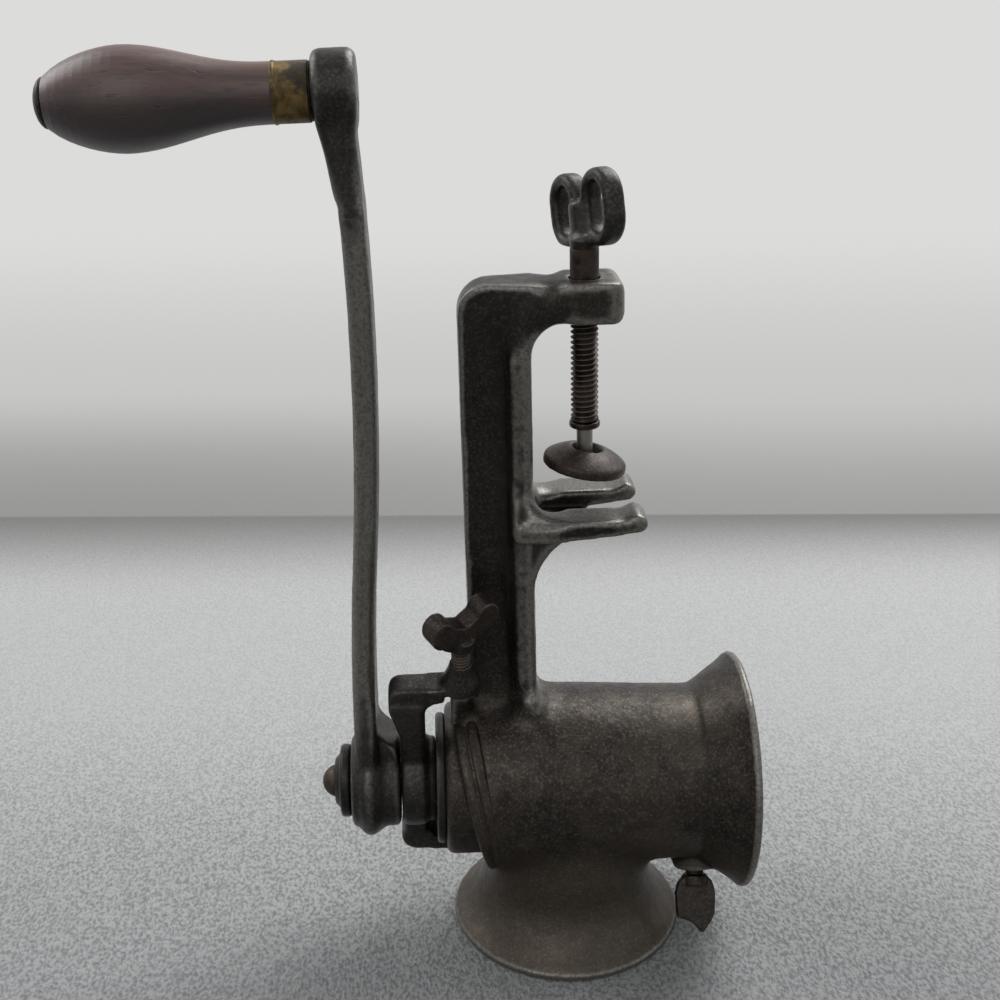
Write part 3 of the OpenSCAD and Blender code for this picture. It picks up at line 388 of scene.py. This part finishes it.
def casting_skin(node_name, voxel, rounds, finish, lumps=(), reshape=None, fillets=(), wear_and_painted_highlight=None, rough=0.0, seed=1,
                 reach=0.22):
    """Wraps a copy of a CAD node in a voxel skin, relaxes it, and writes its edge attribute. Sizes are in mm.
    Lumps are solids that are joined on, reshape moves the points, fillets are pairs of rounds and weight, and
    the wear function adds wear, and on the body and the crank also painted highlight, to the edge attribute."""
    mesh = nodes[node_name].data.copy()
    joined = bmesh.new()
    joined.from_mesh(mesh)
    bmesh.ops.remove_doubles(joined, verts=joined.verts, dist=1e-6)
    for outline, half_width in lumps:
        near, far = [[joined.verts.new((x * MM, y * MM, z * MM)) for x, z in outline] for y in (-half_width, half_width)]
        joined.faces.new(near[::-1])
        joined.faces.new(far)
        for k in range(len(outline)):
            after = (k + 1) % len(outline)
            joined.faces.new((near[k], near[after], far[after], far[k]))
    bmesh.ops.recalc_face_normals(joined, faces=joined.faces)
    joined.to_mesh(mesh)
    joined.free()
    piece = bpy.data.objects.new("cast_" + node_name, mesh)
    bpy.context.scene.collection.objects.link(piece)
    wrap = piece.modifiers.new("wrap", "REMESH")
    wrap.mode, wrap.voxel_size, wrap.adaptivity = "VOXEL", voxel * MM, 0.0
    wrapped = bpy.data.meshes.new_from_object(piece.evaluated_get(bpy.context.evaluated_depsgraph_get()))
    piece.modifiers.clear()
    piece.data = wrapped
    points, edges = mesh_arrays(wrapped)
    points = relax(points, edges, rounds)
    if reshape:
        points = reshape(points / MM) * MM
    for more_rounds, weight in fillets:
        points = relax(points, edges, more_rounds, weight(points / MM))
    if rough:
        wrapped.vertices.foreach_set("co", points.astype(np.float32).ravel())
        wrapped.update()
        height = 0.6 * grain(points, 3.4 * MM, seed) + 0.4 * grain(points, 1.6 * MM, seed + 1)
        points = points + normals_of(wrapped) * (height * rough * MM)[:, None]
    wrapped.vertices.foreach_set("co", points.astype(np.float32).ravel())
    wrapped.update()
    sunk = np.einsum("ij,ij->i", points - relax(points, edges, 10), normals_of(wrapped)) / (reach * MM)
    # wear, and on the body and the crank painted highlight on faces turned to the light, is added to the edge attribute
    if wear_and_painted_highlight:
        sunk = sunk + wear_and_painted_highlight(points / MM, normals_of(wrapped))
    layer = wrapped.attributes.new("edge", "FLOAT", "POINT")
    layer.data.foreach_set("value", np.clip(sunk, -1.0, 1.0).astype(np.float32))
    wrapped.materials.clear()
    wrapped.materials.append(finish)
    shade_smooth(wrapped)
    return stands_for(piece, node_name)


# %% [markdown]
# The casting of the body needs more than rounded corners. The pattern maker put generous fillets where the
# hopper meets the barrel, where the post stands on it, beside the flange of the post, at the root of the fork
# and at the end of the arm. A weight picks the points near each of these joints and relaxes them much longer
# than the rest. The clamp frame leans a little, so its own places are measured in a frame turned back plumb.

# %% The body casting
AXIS_Z = joint_of["crank_spin"]["pos_m"][2] / MM
LEAN = math.asin(-joint_of["clamp_travel"]["axis"][0])


def ramp(value, low, high):
    """Rises straight from 0 to 1 while value goes from low to high."""
    return np.clip((value - low) / (high - low), 0.0, 1.0)


def plumb(at):
    """The places of the leaning clamp frame, in mm, as if it stood plumb over the feed axis."""
    x, y, z = at.T
    rise = z - AXIS_Z
    return x * math.cos(LEAN) + rise * math.sin(LEAN), y, AXIS_Z + rise * math.cos(LEAN) - x * math.sin(LEAN)


def soft_joints(at):
    """1 near the joint of barrel and hopper neck and near the foot of the post, fading to 0 over a few mm."""
    x, y, z = at.T
    from_axis = np.hypot(y, z - AXIS_Z)
    near_barrel = 1.0 - np.clip(np.abs(from_axis - 29.8) / 7.0, 0.0, 1.0)
    near_neck = 1.0 - np.clip(np.abs(np.hypot(x, y) - 27.3) / 7.0, 0.0, 1.0)
    under = near_barrel * near_neck * (z < AXIS_Z - 8.0)
    in_post = ramp(x, -38.0, -34.0) * ramp(x, 3.0, -2.0)
    foot = (1.0 - ramp(np.abs(from_axis - 31.5), 4.0, 9.0)) * in_post * ramp(z, AXIS_Z + 14.0, AXIS_Z + 20.0)
    return np.clip(np.maximum(2.2 * under, foot), 0.0, 1.0) * (from_axis > 26.0)


def beside_flange(at):
    """1 where the web of the post meets its flange, so that the step becomes a hollow."""
    x, y, z = plumb(at)
    return ramp(x, -29.0, -24.0) * ramp(x, -14.0, -17.0) * ramp(np.abs(y), 2.0, 4.0) * ramp(z, 88.0, 94.0) * ramp(z, 205.0, 200.0)


def arm_end(at):
    """1 where the web of the arm and its flange run into the block."""
    x, y, z = plumb(at)
    return ramp(x, -24.0, -16.0) * ramp(x, 3.0, -2.0) * ramp(z, 198.0, 203.0) * ramp(z, 219.0, 216.5) * ramp(np.abs(y), 1.0, 3.0)


def fork_root(at):
    """1 in the corner between the post and the fork, and a little of it at the tips of the fork."""
    x, y, z = plumb(at)
    root = (1.0 - ramp(np.hypot(x + 7.5, z - 154.0), 4.0, 7.5)) * ramp(z, 149.0, 151.0)
    tips = 0.12 * ramp(x, 12.0, 16.0) * ramp(z, 140.0, 144.0) * ramp(z, 162.0, 158.0)
    return np.maximum(root, tips)


def widened_arm(at):
    """The web of the arm widens towards the block, up to the width of its flange."""
    x, y, z = plumb(at)
    wider = 1.0 + 0.95 * ramp(x, -32.0, -6.0) * ramp(z, 204.0, 212.0) * (x < -4.5)
    wide = np.where(np.abs(y) < 9.0, np.minimum(np.abs(y) * wider, 9.6), np.abs(y))
    return wider_hole(np.stack([at[:, 0], np.sign(y) * wide, at[:, 2]], -1), "clamp_turn", 195.0, 4.6)


def wider_hole(at, joint_name, above, least):
    """Moves the wall of a screw hole out to its least radius, above a height, so that the screw stays free of it."""
    _, foot, out, _ = about(at, joint_name)
    radius = np.maximum(np.linalg.norm(out, axis=1), 1e-6)
    wall = (radius < least) & (at[:, 2] > above)
    return foot + out * np.where(wall, least / radius, 1.0)[:, None]


def arm_top(at):
    """1 where the widened arm meets the block, up to its top edges."""
    x, y, z = plumb(at)
    return ramp(np.abs(x + 4.5), 5.0, 2.0) * ramp(z, 203.0, 206.0) * ramp(np.abs(y), 2.0, 4.0)


def body_wear_and_painted_highlight(at, normal):
    """Wear and painted highlight on the top of the fork, where table edges rub, on the end of the block and on the
    inner edge of the post. The faces of the fork turned up, and those of the block and the post turned to the
    right, get painted highlight over a little wear.
    """
    x, y, z = plumb(at)
    # painted highlight on the faces of the fork turned up, with wear where table edges rub
    fork = 1.4 * ramp(normal[:, 2], 0.4, 0.9) * ramp(x, -9.0, -4.0) * ramp(z, 149.0, 150.5) * ramp(z, 157.0, 155.0)
    # painted highlight on the end of the block where it turns to the right, over a little wear
    end = 0.25 + 1.3 * ramp(normal[:, 0], 0.1, 0.6) * ramp(x, 8.0, 12.0)
    block = end * ramp(z, 203.0, 206.0) * ramp(x, -4.0, 2.0)
    # painted highlight on the inner edge of the post where it turns to the right, over a little wear
    facing = 0.45 + 0.9 * ramp(normal[:, 0], 0.0, 0.6)
    post = facing * ramp(z, 80.0, 90.0) * ramp(z, 208.0, 200.0) * ramp(x, -16.5, -12.0)
    return fork + block + post * (x < -4.0)


body_casting = casting_skin("body_casting", 0.82, 5, body_iron, lumps=[([(-17.0, 70.0), (-10.5, 70.0), (-10.5, 90.0), (-17.0, 90.0)], 14.0)],
                            reshape=widened_arm, fillets=[(120, soft_joints), (14, beside_flange), (50, arm_end), (30, arm_top), (90, fork_root)],
                            wear_and_painted_highlight=body_wear_and_painted_highlight, rough=0.10)

# %% [markdown]
# The slanted rim of the barrel stands out as a narrow band with a bead beside it. It is finer than the skin of
# the body, so it is a ring of its own: one outline, turned about the slanted axis.

# %% The slanted rim
def turned_ring(name, start, direction, outline, finish, node_name, replaces=False, steps=160):
    """Turns a closed outline of (height, radius) pairs about a line, in mm. It moves with a node, or replaces it."""
    origin, side, across, up = along(start, direction)
    outline = np.array(outline)
    angle = np.linspace(0.0, 2 * np.pi, steps, endpoint=False)[:, None]
    h, r = outline[None, :, 0], outline[None, :, 1]
    points = origin + (r * np.cos(angle))[..., None] * side + (r * np.sin(angle))[..., None] * across + (h + 0 * angle)[..., None] * up
    index = np.arange(steps * len(outline)).reshape(steps, -1)
    after, right = np.roll(index, -1, axis=0), np.roll(index, -1, axis=1)
    corner = np.roll(after, -1, axis=1)
    quads = np.stack([index, right, corner, after], -1).reshape(-1, 4)
    mesh = bpy.data.meshes.new(name)
    mesh.from_pydata((points.reshape(-1, 3) * MM).tolist(), [], quads.tolist())
    mesh.materials.append(finish)
    shade_smooth(mesh)
    piece = bpy.data.objects.new(name, mesh)
    bpy.context.scene.collection.objects.link(piece)
    if replaces:
        return stands_for(piece, node_name)
    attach(piece, body_of[node_name])
    print(f"{name}: {len(mesh.polygons)} faces, on body {body_of[node_name]}")
    return piece


def along(start, direction):
    """Three unit vectors: the direction itself, and two across it."""
    up = np.array(direction, float) / np.linalg.norm(direction)
    side = np.cross(up, [0.0, 1.0, 0.0]) if abs(up[1]) < 0.9 else np.cross(up, [1.0, 0.0, 0.0])
    side /= np.linalg.norm(side)
    return np.array(start, float), side, np.cross(up, side), up


SLANT = math.radians(12.0)
turned_ring("slanted_rim", (-32.0, 0.0, AXIS_Z), (math.cos(SLANT), 0.0, math.sin(SLANT)),
            [(0.2, 27.0), (0.1, 29.4), (0.3, 30.0), (0.8, 30.4), (1.6, 30.5), (2.5, 30.4), (3.0, 30.1), (3.3, 29.7),
             (3.7, 29.5), (4.1, 29.7), (4.5, 30.1), (5.0, 30.2), (5.8, 29.9), (6.8, 29.2), (7.6, 28.2), (6.0, 27.0)],
            body_iron, "body_casting")

# %% [markdown]
# The other castings are smaller, so they get a finer skin. The yoke is softened all over, except at its eye and
# at the end of its boss. On the crank, the flank behind the arm ends in a short hollow shoulder over the hub,
# and the boss for the grip runs into the arm. The finger loops sit low on the shank, with no collar.

# %% The yoke
def yoke_softened(at):
    """1 on the bar, the arm and the hook of the yoke, and low at the eye and at the bearing face."""
    x, y, z = at.T
    eye = ramp(x, -43.0, -45.0) * ramp(z, 84.0, 80.0)
    bearing = ramp(x, -44.6, -46.4)
    return np.clip(np.maximum(0.12, np.maximum(eye, (z > 80.0) * ramp(x, -41.0, -45.0)) * bearing), 0.0, 1.0)


def narrowed_eye(at):
    """The wall of the eye thins from 2 mm to a third of it at the top, so that the eye rises like a cone."""
    height, foot, out, _ = about(at, "yoke_wing_turn")
    radius = np.maximum(np.linalg.norm(out, axis=1), 1e-6)
    top = height[(radius < 6.0) & (at[:, 2] > 80.0)].max()
    share = 0.66 * ramp(height, top - 7.0, top) * ramp(radius, 9.0, 6.0)
    slim = np.where(radius > 3.1, radius - (radius - 3.1) * share, radius)
    return wider_hole(foot + out * (slim / radius)[:, None], "yoke_wing_turn", 80.0, 3.25)


casting_skin("bearing_yoke", 0.45, 5, worn_iron, reshape=narrowed_eye, fillets=[(36, yoke_softened)], rough=0.05,
             seed=12)

# %% The crank
def rounded_arm(at):
    """Gives the box section of the arm half-round edges: of each corner square (a, b) from 0 to 1 it makes a
    quarter disc, a times the root of 1 - b * b / 2, and b times the root of 1 - a * a / 2."""
    x, y, z = at.T
    stations = np.arange(84.0, 246.0, 2.0)
    around = [np.abs(z - station) < 1.2 for station in stations]
    low = np.interp(z, stations, [x[rows].min() for rows in around])
    high = np.interp(z, stations, [x[rows].max() for rows in around])
    wide = np.interp(z, stations, [np.abs(y[rows]).max() for rows in around])
    half = (high - low) / 2
    a = np.clip((x - low) / half - 1.0, -1.0, 1.0)
    b = np.clip((np.abs(y) - wide) / half + 1.0, 0.0, 1.0)
    share = ramp(z, 86.0, 98.0) * ramp(z, 240.0, 228.0)
    moved_x = x + share * half * a * (np.sqrt(1.0 - b * b / 2) - 1.0)
    moved_y = np.sign(y) * (np.abs(y) + share * half * b * (np.sqrt(1.0 - a * a / 2) - 1.0))
    return np.stack([moved_x, moved_y, z], -1)


def crank_wear_and_painted_highlight(at, normal):
    """The narrow edge of the arm is worn along both corners, and its wide faces a little. The corners also get
    painted highlight, some on the left and more on the right, where they turn to the light.
    """
    x, y, z = at.T
    edge = 1.0 - ramp(np.abs(normal[:, 0]), 0.80, 0.95)
    # painted highlight on the corners turned to the left and, more, to the right, over wear along the edge
    flank = edge * (0.35 + 0.6 * ramp(-normal[:, 0], 0.3, 0.7) + 0.8 * ramp(normal[:, 0], -0.2, 0.45)) + 0.3
    speck = 0.65 + 0.35 * ramp(grain(at * MM, 1.4 * MM, 31), -0.5, 0.4)
    return flank * speck * ramp(z, 72.0, 100.0) * ramp(z, 255.0, 225.0)


def crank_shoulder(at):
    """The flank behind the arm is pushed back to the arm above a short hollow shoulder over the hub."""
    x, y, z = at.T
    back = -61.6
    was = np.maximum(28.6 - np.sqrt(np.clip(29.0 ** 2 - (87.0 - np.clip(z, 69.0, 87.0)) ** 2, 0.0, None)), 0.05)
    now = 5.9 * ramp(z, 77.0, 70.5) ** 1.6
    moved = np.where((z > 69.2) & (z < 88.0) & (x > back), back + np.minimum((x - back) * np.minimum(now / was, 1.3), 6.0), x)
    return rounded_arm(np.stack([moved, y, z], -1))


def crank_joints(at):
    """1 at the shoulder over the hub and where the boss for the grip runs into the arm."""
    x, y, z = at.T
    shoulder = 0.35 * ramp(x, -62.5, -60.5) * ramp(z, 66.0, 70.0) * ramp(z, 84.0, 79.0)
    boss = ramp(z, 240.0, 246.0) * ramp(z, 272.0, 266.0)
    return np.maximum(shoulder, boss)


casting_skin("crank_arm", 0.6, 5, worn_iron, lumps=[([(-71.6, 264.0), (-71.2, 262.0), (-69.4, 255.0), (-67.4, 243.0),
             (-64.0, 243.0), (-64.0, 264.0)], 8.0)], reshape=crank_shoulder, fillets=[(40, crank_joints)],
             wear_and_painted_highlight=crank_wear_and_painted_highlight, rough=0.08, seed=9)

# %% The finger loops
def lowered_loops(at):
    """The head sinks 3 mm along the shank, its collar shrinks into the shank, and the loops move 2 mm to the right."""
    place, direction = np.array(joint_of["clamp_turn"]["pos_m"]) / MM, np.array(joint_of["clamp_turn"]["axis"])
    height = (at - place) @ direction
    base = height.min()
    axis_point = place + height[:, None] * direction
    out = at - axis_point
    radius = np.linalg.norm(out, axis=1)
    low = ramp(height - base, 5.5, 3.0) * (radius < 7.0)
    slim = 1.0 - low * (1.0 - 4.1 / np.maximum(radius, 4.1))
    shift = 2.0 * np.maximum(ramp(height - base, 3.0, 7.0), ramp(radius, 5.8, 6.8))
    moved = axis_point + out * slim[:, None] - 3.0 * direction + shift[:, None] * np.array([1.0, 0.0, 0.0])
    lift = np.maximum(226.7 - plumb(moved)[2], 0.0) * (radius * slim > 4.3)
    return moved + lift[:, None] * direction


casting_skin("clamp_finger_loops", 0.4, 10, worn_iron, reshape=lowered_loops, rough=0.05, seed=18)

# %% The wing of the yoke screw
def shorter_wing(at):
    """The lobes move in to 0.8 of their span and turn to 32 degrees from X, and the wing thickens and rises 1.6 mm."""
    height, foot, out, up = about(at, "yoke_wing_turn")
    along_x = np.array([1.0, 0.0, 0.0]) - up[0] * up
    along_x /= np.linalg.norm(along_x)
    back = np.cross(up, along_x)
    was, now = math.radians(41.0), math.radians(32.0)
    span = out @ (math.cos(was) * along_x + math.sin(was) * back)
    thick = out @ (math.cos(was) * back - math.sin(was) * along_x)
    lift = ramp(height - height.min(), 2.0, 6.0)
    span = span * (1.0 - 0.2 * lift)
    thick = thick * (1.0 + 0.2 * lift)
    turned = span[:, None] * (math.cos(now) * along_x + math.sin(now) * back) + thick[:, None] * (
        math.cos(now) * back - math.sin(now) * along_x)
    return foot + turned + 1.6 * up


casting_skin("yoke_screw_wing", 0.35, 9, rusty_iron, reshape=shorter_wing, rough=0.04, seed=15)

# %% The collar and neck of the pad
def bright_neck(at, normal):
    """The neck below the collar is polished by the pad."""
    height, _, out, _ = about(at, "clamp_turn")
    return 1.2 * ramp(np.linalg.norm(out, axis=1), 3.2, 2.6)


casting_skin("pad_collar", 0.3, 3, neck_steel, wear_and_painted_highlight=bright_neck, rough=0.02, seed=10, reach=0.6)

# %% The smaller castings
for node_name, voxel, rounds, finish, rough in (
        ("end_cap", 0.5, 5, body_iron, 0.05), ("bearing_plate", 0.45, 3, dark_iron, 0.03),
        ("crank_washer", 0.3, 4, dark_iron, 0.03), ("crank_bolt", 0.3, 3, rusty_steel, 0.02),
        ("plate_screw_wing", 0.3, 7, rusty_iron, 0.05), ("clamp_pad", 0.35, 14, rusty_iron, 0.03)):
    casting_skin(node_name, voxel, rounds, finish, rough=rough, seed=len(node_name))

# %% [markdown]
# ## Screw threads
# The frame leaves the screws plain, because a real thread would choke it with faces. A thread is one line: the
# radius of the surface rises and falls like a row of roofs as it climbs, and each turn round the screw shifts
# the roofs by one pitch. So one grid, round by up, makes the whole screw. Its first and last rows shrink to
# a point, so the skin is closed.

# %% Grids, and the screws
def grid_piece(name, rows, finish, node_name, edge=None):
    """Skins rows of points, shaped (rows, round, 3). Each row is a closed ring, and both ends are closed by a fan."""
    high, round_, _ = rows.shape
    ends = np.stack([rows[0].mean(0), rows[-1].mean(0)])
    points = np.concatenate([rows.reshape(-1, 3), ends])
    index = np.arange(high * round_).reshape(high, round_)
    right = np.roll(index, -1, axis=1)
    quads = np.stack([index[:-1], right[:-1], right[1:], index[1:]], -1).reshape(-1, 4)
    low_fan = np.stack([right[0], index[0], np.full(round_, high * round_)], -1)
    high_fan = np.stack([index[-1], right[-1], np.full(round_, high * round_ + 1)], -1)
    mesh = bpy.data.meshes.new(name)
    mesh.from_pydata(points.tolist(), [], quads.tolist() + low_fan.tolist() + high_fan.tolist())
    if edge is not None:
        value = np.concatenate([edge.reshape(-1), [0.0, 0.0]])
        mesh.attributes.new("edge", "FLOAT", "POINT").data.foreach_set("value", value.astype(np.float32))
    mesh.materials.append(finish)
    shade_smooth(mesh)
    piece = bpy.data.objects.new(name, mesh)
    bpy.context.scene.collection.objects.link(piece)
    return stands_for(piece, node_name)


def measured(node_name, place, direction):
    """How far a node reaches along the line, from and to, and its radius about the line, in mm."""
    offset = mesh_arrays(nodes[node_name].data)[0] / MM - place
    height = offset @ direction
    radius = np.linalg.norm(offset - height[:, None] * direction, axis=1)
    return float(height.min()), float(height.max()), float(radius.max())


def screw(node_name, joint_name, pitch, plain_low, plain_high, finish, further=0.0):
    """A screw in the place of a plain stem. Its radius is a roof wave of height minus angle, six tenths of the
    pitch deep, which fades out where the plain stretches at its low and high ends begin. It may reach further
    than the stem, into its head."""
    place, direction = line_of(joint_name)
    low, high, radius = measured(node_name, place, direction)
    high = high + further
    origin, side, across, up = along(place + direction * low, direction)
    length = high - low
    height = np.linspace(0.0, length, int(length / pitch * 10) + 1)
    angle = np.linspace(0.0, 2 * np.pi, 40, endpoint=False)
    h, a = np.meshgrid(height, angle, indexing="ij")
    roof = np.abs(((h / pitch - a / (2 * np.pi)) % 1.0) * 2.0 - 1.0)
    roof = np.clip(roof * 1.25 - 0.1, 0.0, 1.0)
    cut = np.clip((h - plain_low) / pitch, 0, 1) * np.clip((length - plain_high - h) / pitch, 0, 1)
    r = radius - (0.6 * pitch * (1.0 - roof) + 0.1) * cut - 0.02
    r = np.minimum(r, radius - 0.5 + np.minimum(h, length - h))
    rows = origin + (r * np.cos(a))[..., None] * side + (r * np.sin(a))[..., None] * across + h[..., None] * up
    print(f"{node_name}: {length:.1f} mm long, {2 * radius:.1f} mm thick, {pitch} mm from turn to turn")
    return grid_piece("threaded_" + node_name, rows * MM, finish, node_name, edge=(roof * 2.0 - 1.0) * cut * 0.9)


screw("clamp_screw_stem", "clamp_turn", 1.5875, 0.4, 8.6, rusty_steel)
screw("yoke_screw_stem", "yoke_wing_turn", 1.27, 0.4, 0.6, rusty_steel, further=2.4)
screw("plate_screw_stem", "plate_wing_turn", 1.27, 0.4, 0.6, rusty_steel)

# %% [markdown]
# ## The turned pieces of the grip
# The ferrule laps over the washer with a thin lip, so that only a dark line shows between brass and crank. The
# cap at the outer end is a low dome. Each is one outline, turned about the spindle.

# %% The ferrule, the washer and the end cap
place, direction = line_of("grip_spin")
turned_ring("lipped_ferrule", place, direction,
            [(2.6, 3.4), (2.6, 7.1), (0.6, 7.2), (0.5, 7.6), (0.6, 8.05), (0.9, 8.2), (9.2, 8.2), (9.5, 8.3), (9.8, 8.45),
             (10.3, 8.45), (10.5, 8.3), (10.6, 7.9), (10.5, 3.4)], brass, "grip_ferrule", replaces=True)
turned_ring("dark_washer", place, direction,
            [(0.05, 3.4), (0.05, 7.7), (0.15, 7.9), (0.4, 7.9), (0.45, 7.0), (2.4, 6.9), (2.4, 3.4)], dark_iron,
            "grip_washer", replaces=True)
turned_ring("domed_cap", place, direction,
            [(67.9, 0.1), (67.9, 4.3), (70.7, 4.3), (70.7, 6.4), (70.8, 6.7), (71.1, 6.75), (71.5, 6.6), (72.1, 6.0),
             (72.7, 5.1), (73.2, 3.8), (73.6, 2.0), (73.7, 0.1)], dark_iron, "grip_end_cap", replaces=True)

# %% [markdown]
# ## The pieces that keep their shape
# The machined pieces inside are right as they come, so they only get a finish in their material slots.

# %% Finishes on CAD nodes
for node_name, finish in (("bearing_bush", plain_steel), ("perforated_plate", plain_steel),
                          ("cutter_knife", plain_steel), ("thrust_washer", plain_steel),
                          ("feed_screw", worn_iron), ("grip_spindle", plain_steel),
                          ("grip_wood", grip_wood_finish)):
    for place in range(len(nodes[node_name].data.materials)):
        nodes[node_name].data.materials[place] = finish
print("CAD nodes with a finish of their own:", sum(not n.hide_render for n in nodes.values()))

# %% [markdown]
# ## Floor and light
# The photograph has a pale grey table top that ends a hand's width behind the grinder, against a paler wall.
# A real wall would stand in the way of any view from behind, so one wide floor changes its tone there. Light
# falls off with distance, so the far part of the floor shows its own colour to the camera and to anything
# shiny, while the near part is lit in the plain way and keeps the shadow. Both parts also hold painted shade:
# the table darkens towards the front, on the left near the wall and along the foot of the wall, and the wall
# tone darkens towards its foot. The light is a broad soft panel above and behind to the right, a weaker one
# in front, and an even sky.

# %% Floor
TABLE_END = 0.348


def stage_floor():
    """One flat sheet on the plane that the hopper stands on, with a grey table tone that turns pale behind. The
    tone holds painted shade towards the front, on the left near the wall, along the foot of the wall, and low on
    the wall.
    """
    f = Finish("table and wall tone with painted shade")
    level = (math.cos(CAMERA_TURN), -math.sin(CAMERA_TURN), 0.0)
    depth = f.put("VectorMath", {0: f.place, 1: (-level[1], level[0], 0.0)}, 1, operation="DOT_PRODUCT")
    across = f.put("VectorMath", {0: f.place, 1: level}, 1, operation="DOT_PRODUCT")
    wall = f.step(depth, TABLE_END - 0.003, TABLE_END + 0.003)
    near = f.step(depth, 0.22, -0.06)
    cloth = f.noise(0.55, 3.0, 0.55, stretch=(1.0, 1.6, 1.0), shift=1.0)
    slow = f.noise(90.0, 3.0, 0.5, shift=2.0)
    # painted shade: the table is darker towards the front
    table = f.blend(f.step(depth, -0.12, 0.12), paint(163, 165, 166), paint(192, 193, 192))
    # cloth texture darkened more towards the front: partly the cloth's own pattern, partly painted shade of its relief
    table = f.blend(f.sums("MULTIPLY", f.step(cloth, 0.30, 0.66, 1.0, 0.0), f.step(near, 0.0, 1.0, 0.24, 0.80)), table,
                    paint(110, 112, 113))
    table = f.blend(f.step(slow, 0.3, 0.7, 0.0, 0.15), table, paint(192, 192, 191))
    # painted shade: the wall tone is darker towards its foot and paler higher up
    distant = f.blend(f.step(depth, TABLE_END - 0.02, 0.58), paint(160, 160, 158), paint(197, 197, 195))
    distant = f.blend(f.step(depth, 0.45, 1.2), distant, paint(220, 220, 218))
    colour = f.blend(wall, table, distant)
    # painted shadow along the foot of the wall, on the table side
    wall_foot_painted_shadow = f.step(depth, TABLE_END - 0.13, TABLE_END + 0.012)
    wall_foot_painted_shadow = f.sums("MULTIPLY", f.sums("MULTIPLY", wall_foot_painted_shadow, wall_foot_painted_shadow), f.sums("SUBTRACT", 1.0, wall))
    colour = f.blend(f.sums("MULTIPLY", wall_foot_painted_shadow, 0.95), colour, paint(112, 112, 110))
    # painted shade: the left of the table is darker near the wall
    painted_left_shade = f.sums("MULTIPLY", f.step(across, 0.2, -0.25, 0.0, 0.28), f.step(depth, 0.24, 0.32))
    colour = f.blend(f.sums("MULTIPLY", painted_left_shade, f.step(depth, 0.60, 0.40)), colour, paint(126, 126, 124))
    f.wire(f.shader.inputs["Base Color"], colour)
    f.shader.inputs["Roughness"].default_value = 0.9
    f.shader.inputs["Specular IOR Level"].default_value = 0.2
    f.bump(f.sums("MULTIPLY", cloth, f.step(near, 0.0, 1.0, 0.4, 1.0)), 1.3, 1.0)
    rays = f.tree.nodes.new("ShaderNodeLightPath").outputs
    seen = f.sums("MAXIMUM", rays["Is Camera Ray"], f.sums("MAXIMUM", rays["Is Glossy Ray"], rays["Is Transmission Ray"]))
    own = f.put("Emission", {"Color": colour, "Strength": 1.0})
    mixed = f.put("MixShader", {0: f.sums("MULTIPLY", seen, wall), 1: f.shader.outputs[0], 2: own})
    f.wire(f.tree.nodes["Material Output"].inputs["Surface"], mixed)
    side = np.linspace(-14.0, 14.0, 3)
    x, y = np.meshgrid(side, side, indexing="ij")
    points = np.stack([x, y, np.zeros_like(x)], -1).reshape(-1, 3)
    quads = [(0, 3, 4, 1), (1, 4, 5, 2), (3, 6, 7, 4), (4, 7, 8, 5)]
    mesh = bpy.data.meshes.new("floor")
    mesh.from_pydata(points.tolist(), [], quads)
    mesh.materials.append(f.material)
    floor = bpy.data.objects.new("floor", mesh)
    bpy.context.scene.collection.objects.link(floor)
    return floor


floor = stage_floor()
print("floor of", round(floor.dimensions.x, 1), "m, table tone up to y =", TABLE_END)

# %% Light
def soft_panel(name, place, aim, size, power, tint=(1.0, 1.0, 1.0)):
    """A square area light at place, facing aim, size metres wide, power in watts."""
    data = bpy.data.lights.new(name, "AREA")
    data.shape, data.size, data.energy, data.color = "SQUARE", size, power, tint
    lamp = bpy.data.objects.new(name, data)
    bpy.context.scene.collection.objects.link(lamp)
    back = np.array(place, float) - np.array(aim, float)
    back /= np.linalg.norm(back)
    right = np.cross([0.0, 0.0, 1.0], back)
    right /= np.linalg.norm(right)
    pose = np.identity(4)
    pose[:3, 0], pose[:3, 1], pose[:3, 2], pose[:3, 3] = right, np.cross(back, right), back, place
    lamp.matrix_world = Matrix(pose.tolist())
    return lamp


soft_panel("window_light", (0.7, 0.8, 1.3), (0.0, 0.0, 0.12), 1.1, 20.5)
soft_panel("left_light", (-1.1, 0.6, 1.1), (0.0, 0.0, 0.12), 0.9, 7.6)
soft_panel("front_light", (-0.5, -1.4, 1.2), (0.0, 0.0, 0.12), 1.2, 4.0)
sky = bpy.data.worlds.new("sky")
bpy.context.scene.world = sky
sky.use_nodes = True
links, tree_nodes = sky.node_tree.links, sky.node_tree.nodes
tree_nodes["Background"].inputs["Color"].default_value = (0.97, 0.98, 1.0, 1.0)
rays = tree_nodes.new("ShaderNodeLightPath").outputs
seen = rays["Is Camera Ray"]
for kind in ("Is Glossy Ray", "Is Transmission Ray"):
    either = tree_nodes.new("ShaderNodeMath")
    either.operation = "MAXIMUM"
    links.new(seen, either.inputs[0])
    links.new(rays[kind], either.inputs[1])
    seen = either.outputs[0]
level = tree_nodes.new("ShaderNodeMapRange")
level.inputs["To Min"].default_value, level.inputs["To Max"].default_value = 0.33, 0.66
links.new(seen, level.inputs["Value"])
links.new(level.outputs[0], tree_nodes["Background"].inputs["Strength"])

# %% [markdown]
# ## Bringing the scene up to date
# The finish must not change the object's size.

# %% Update the scene
bpy.context.view_layer.update()
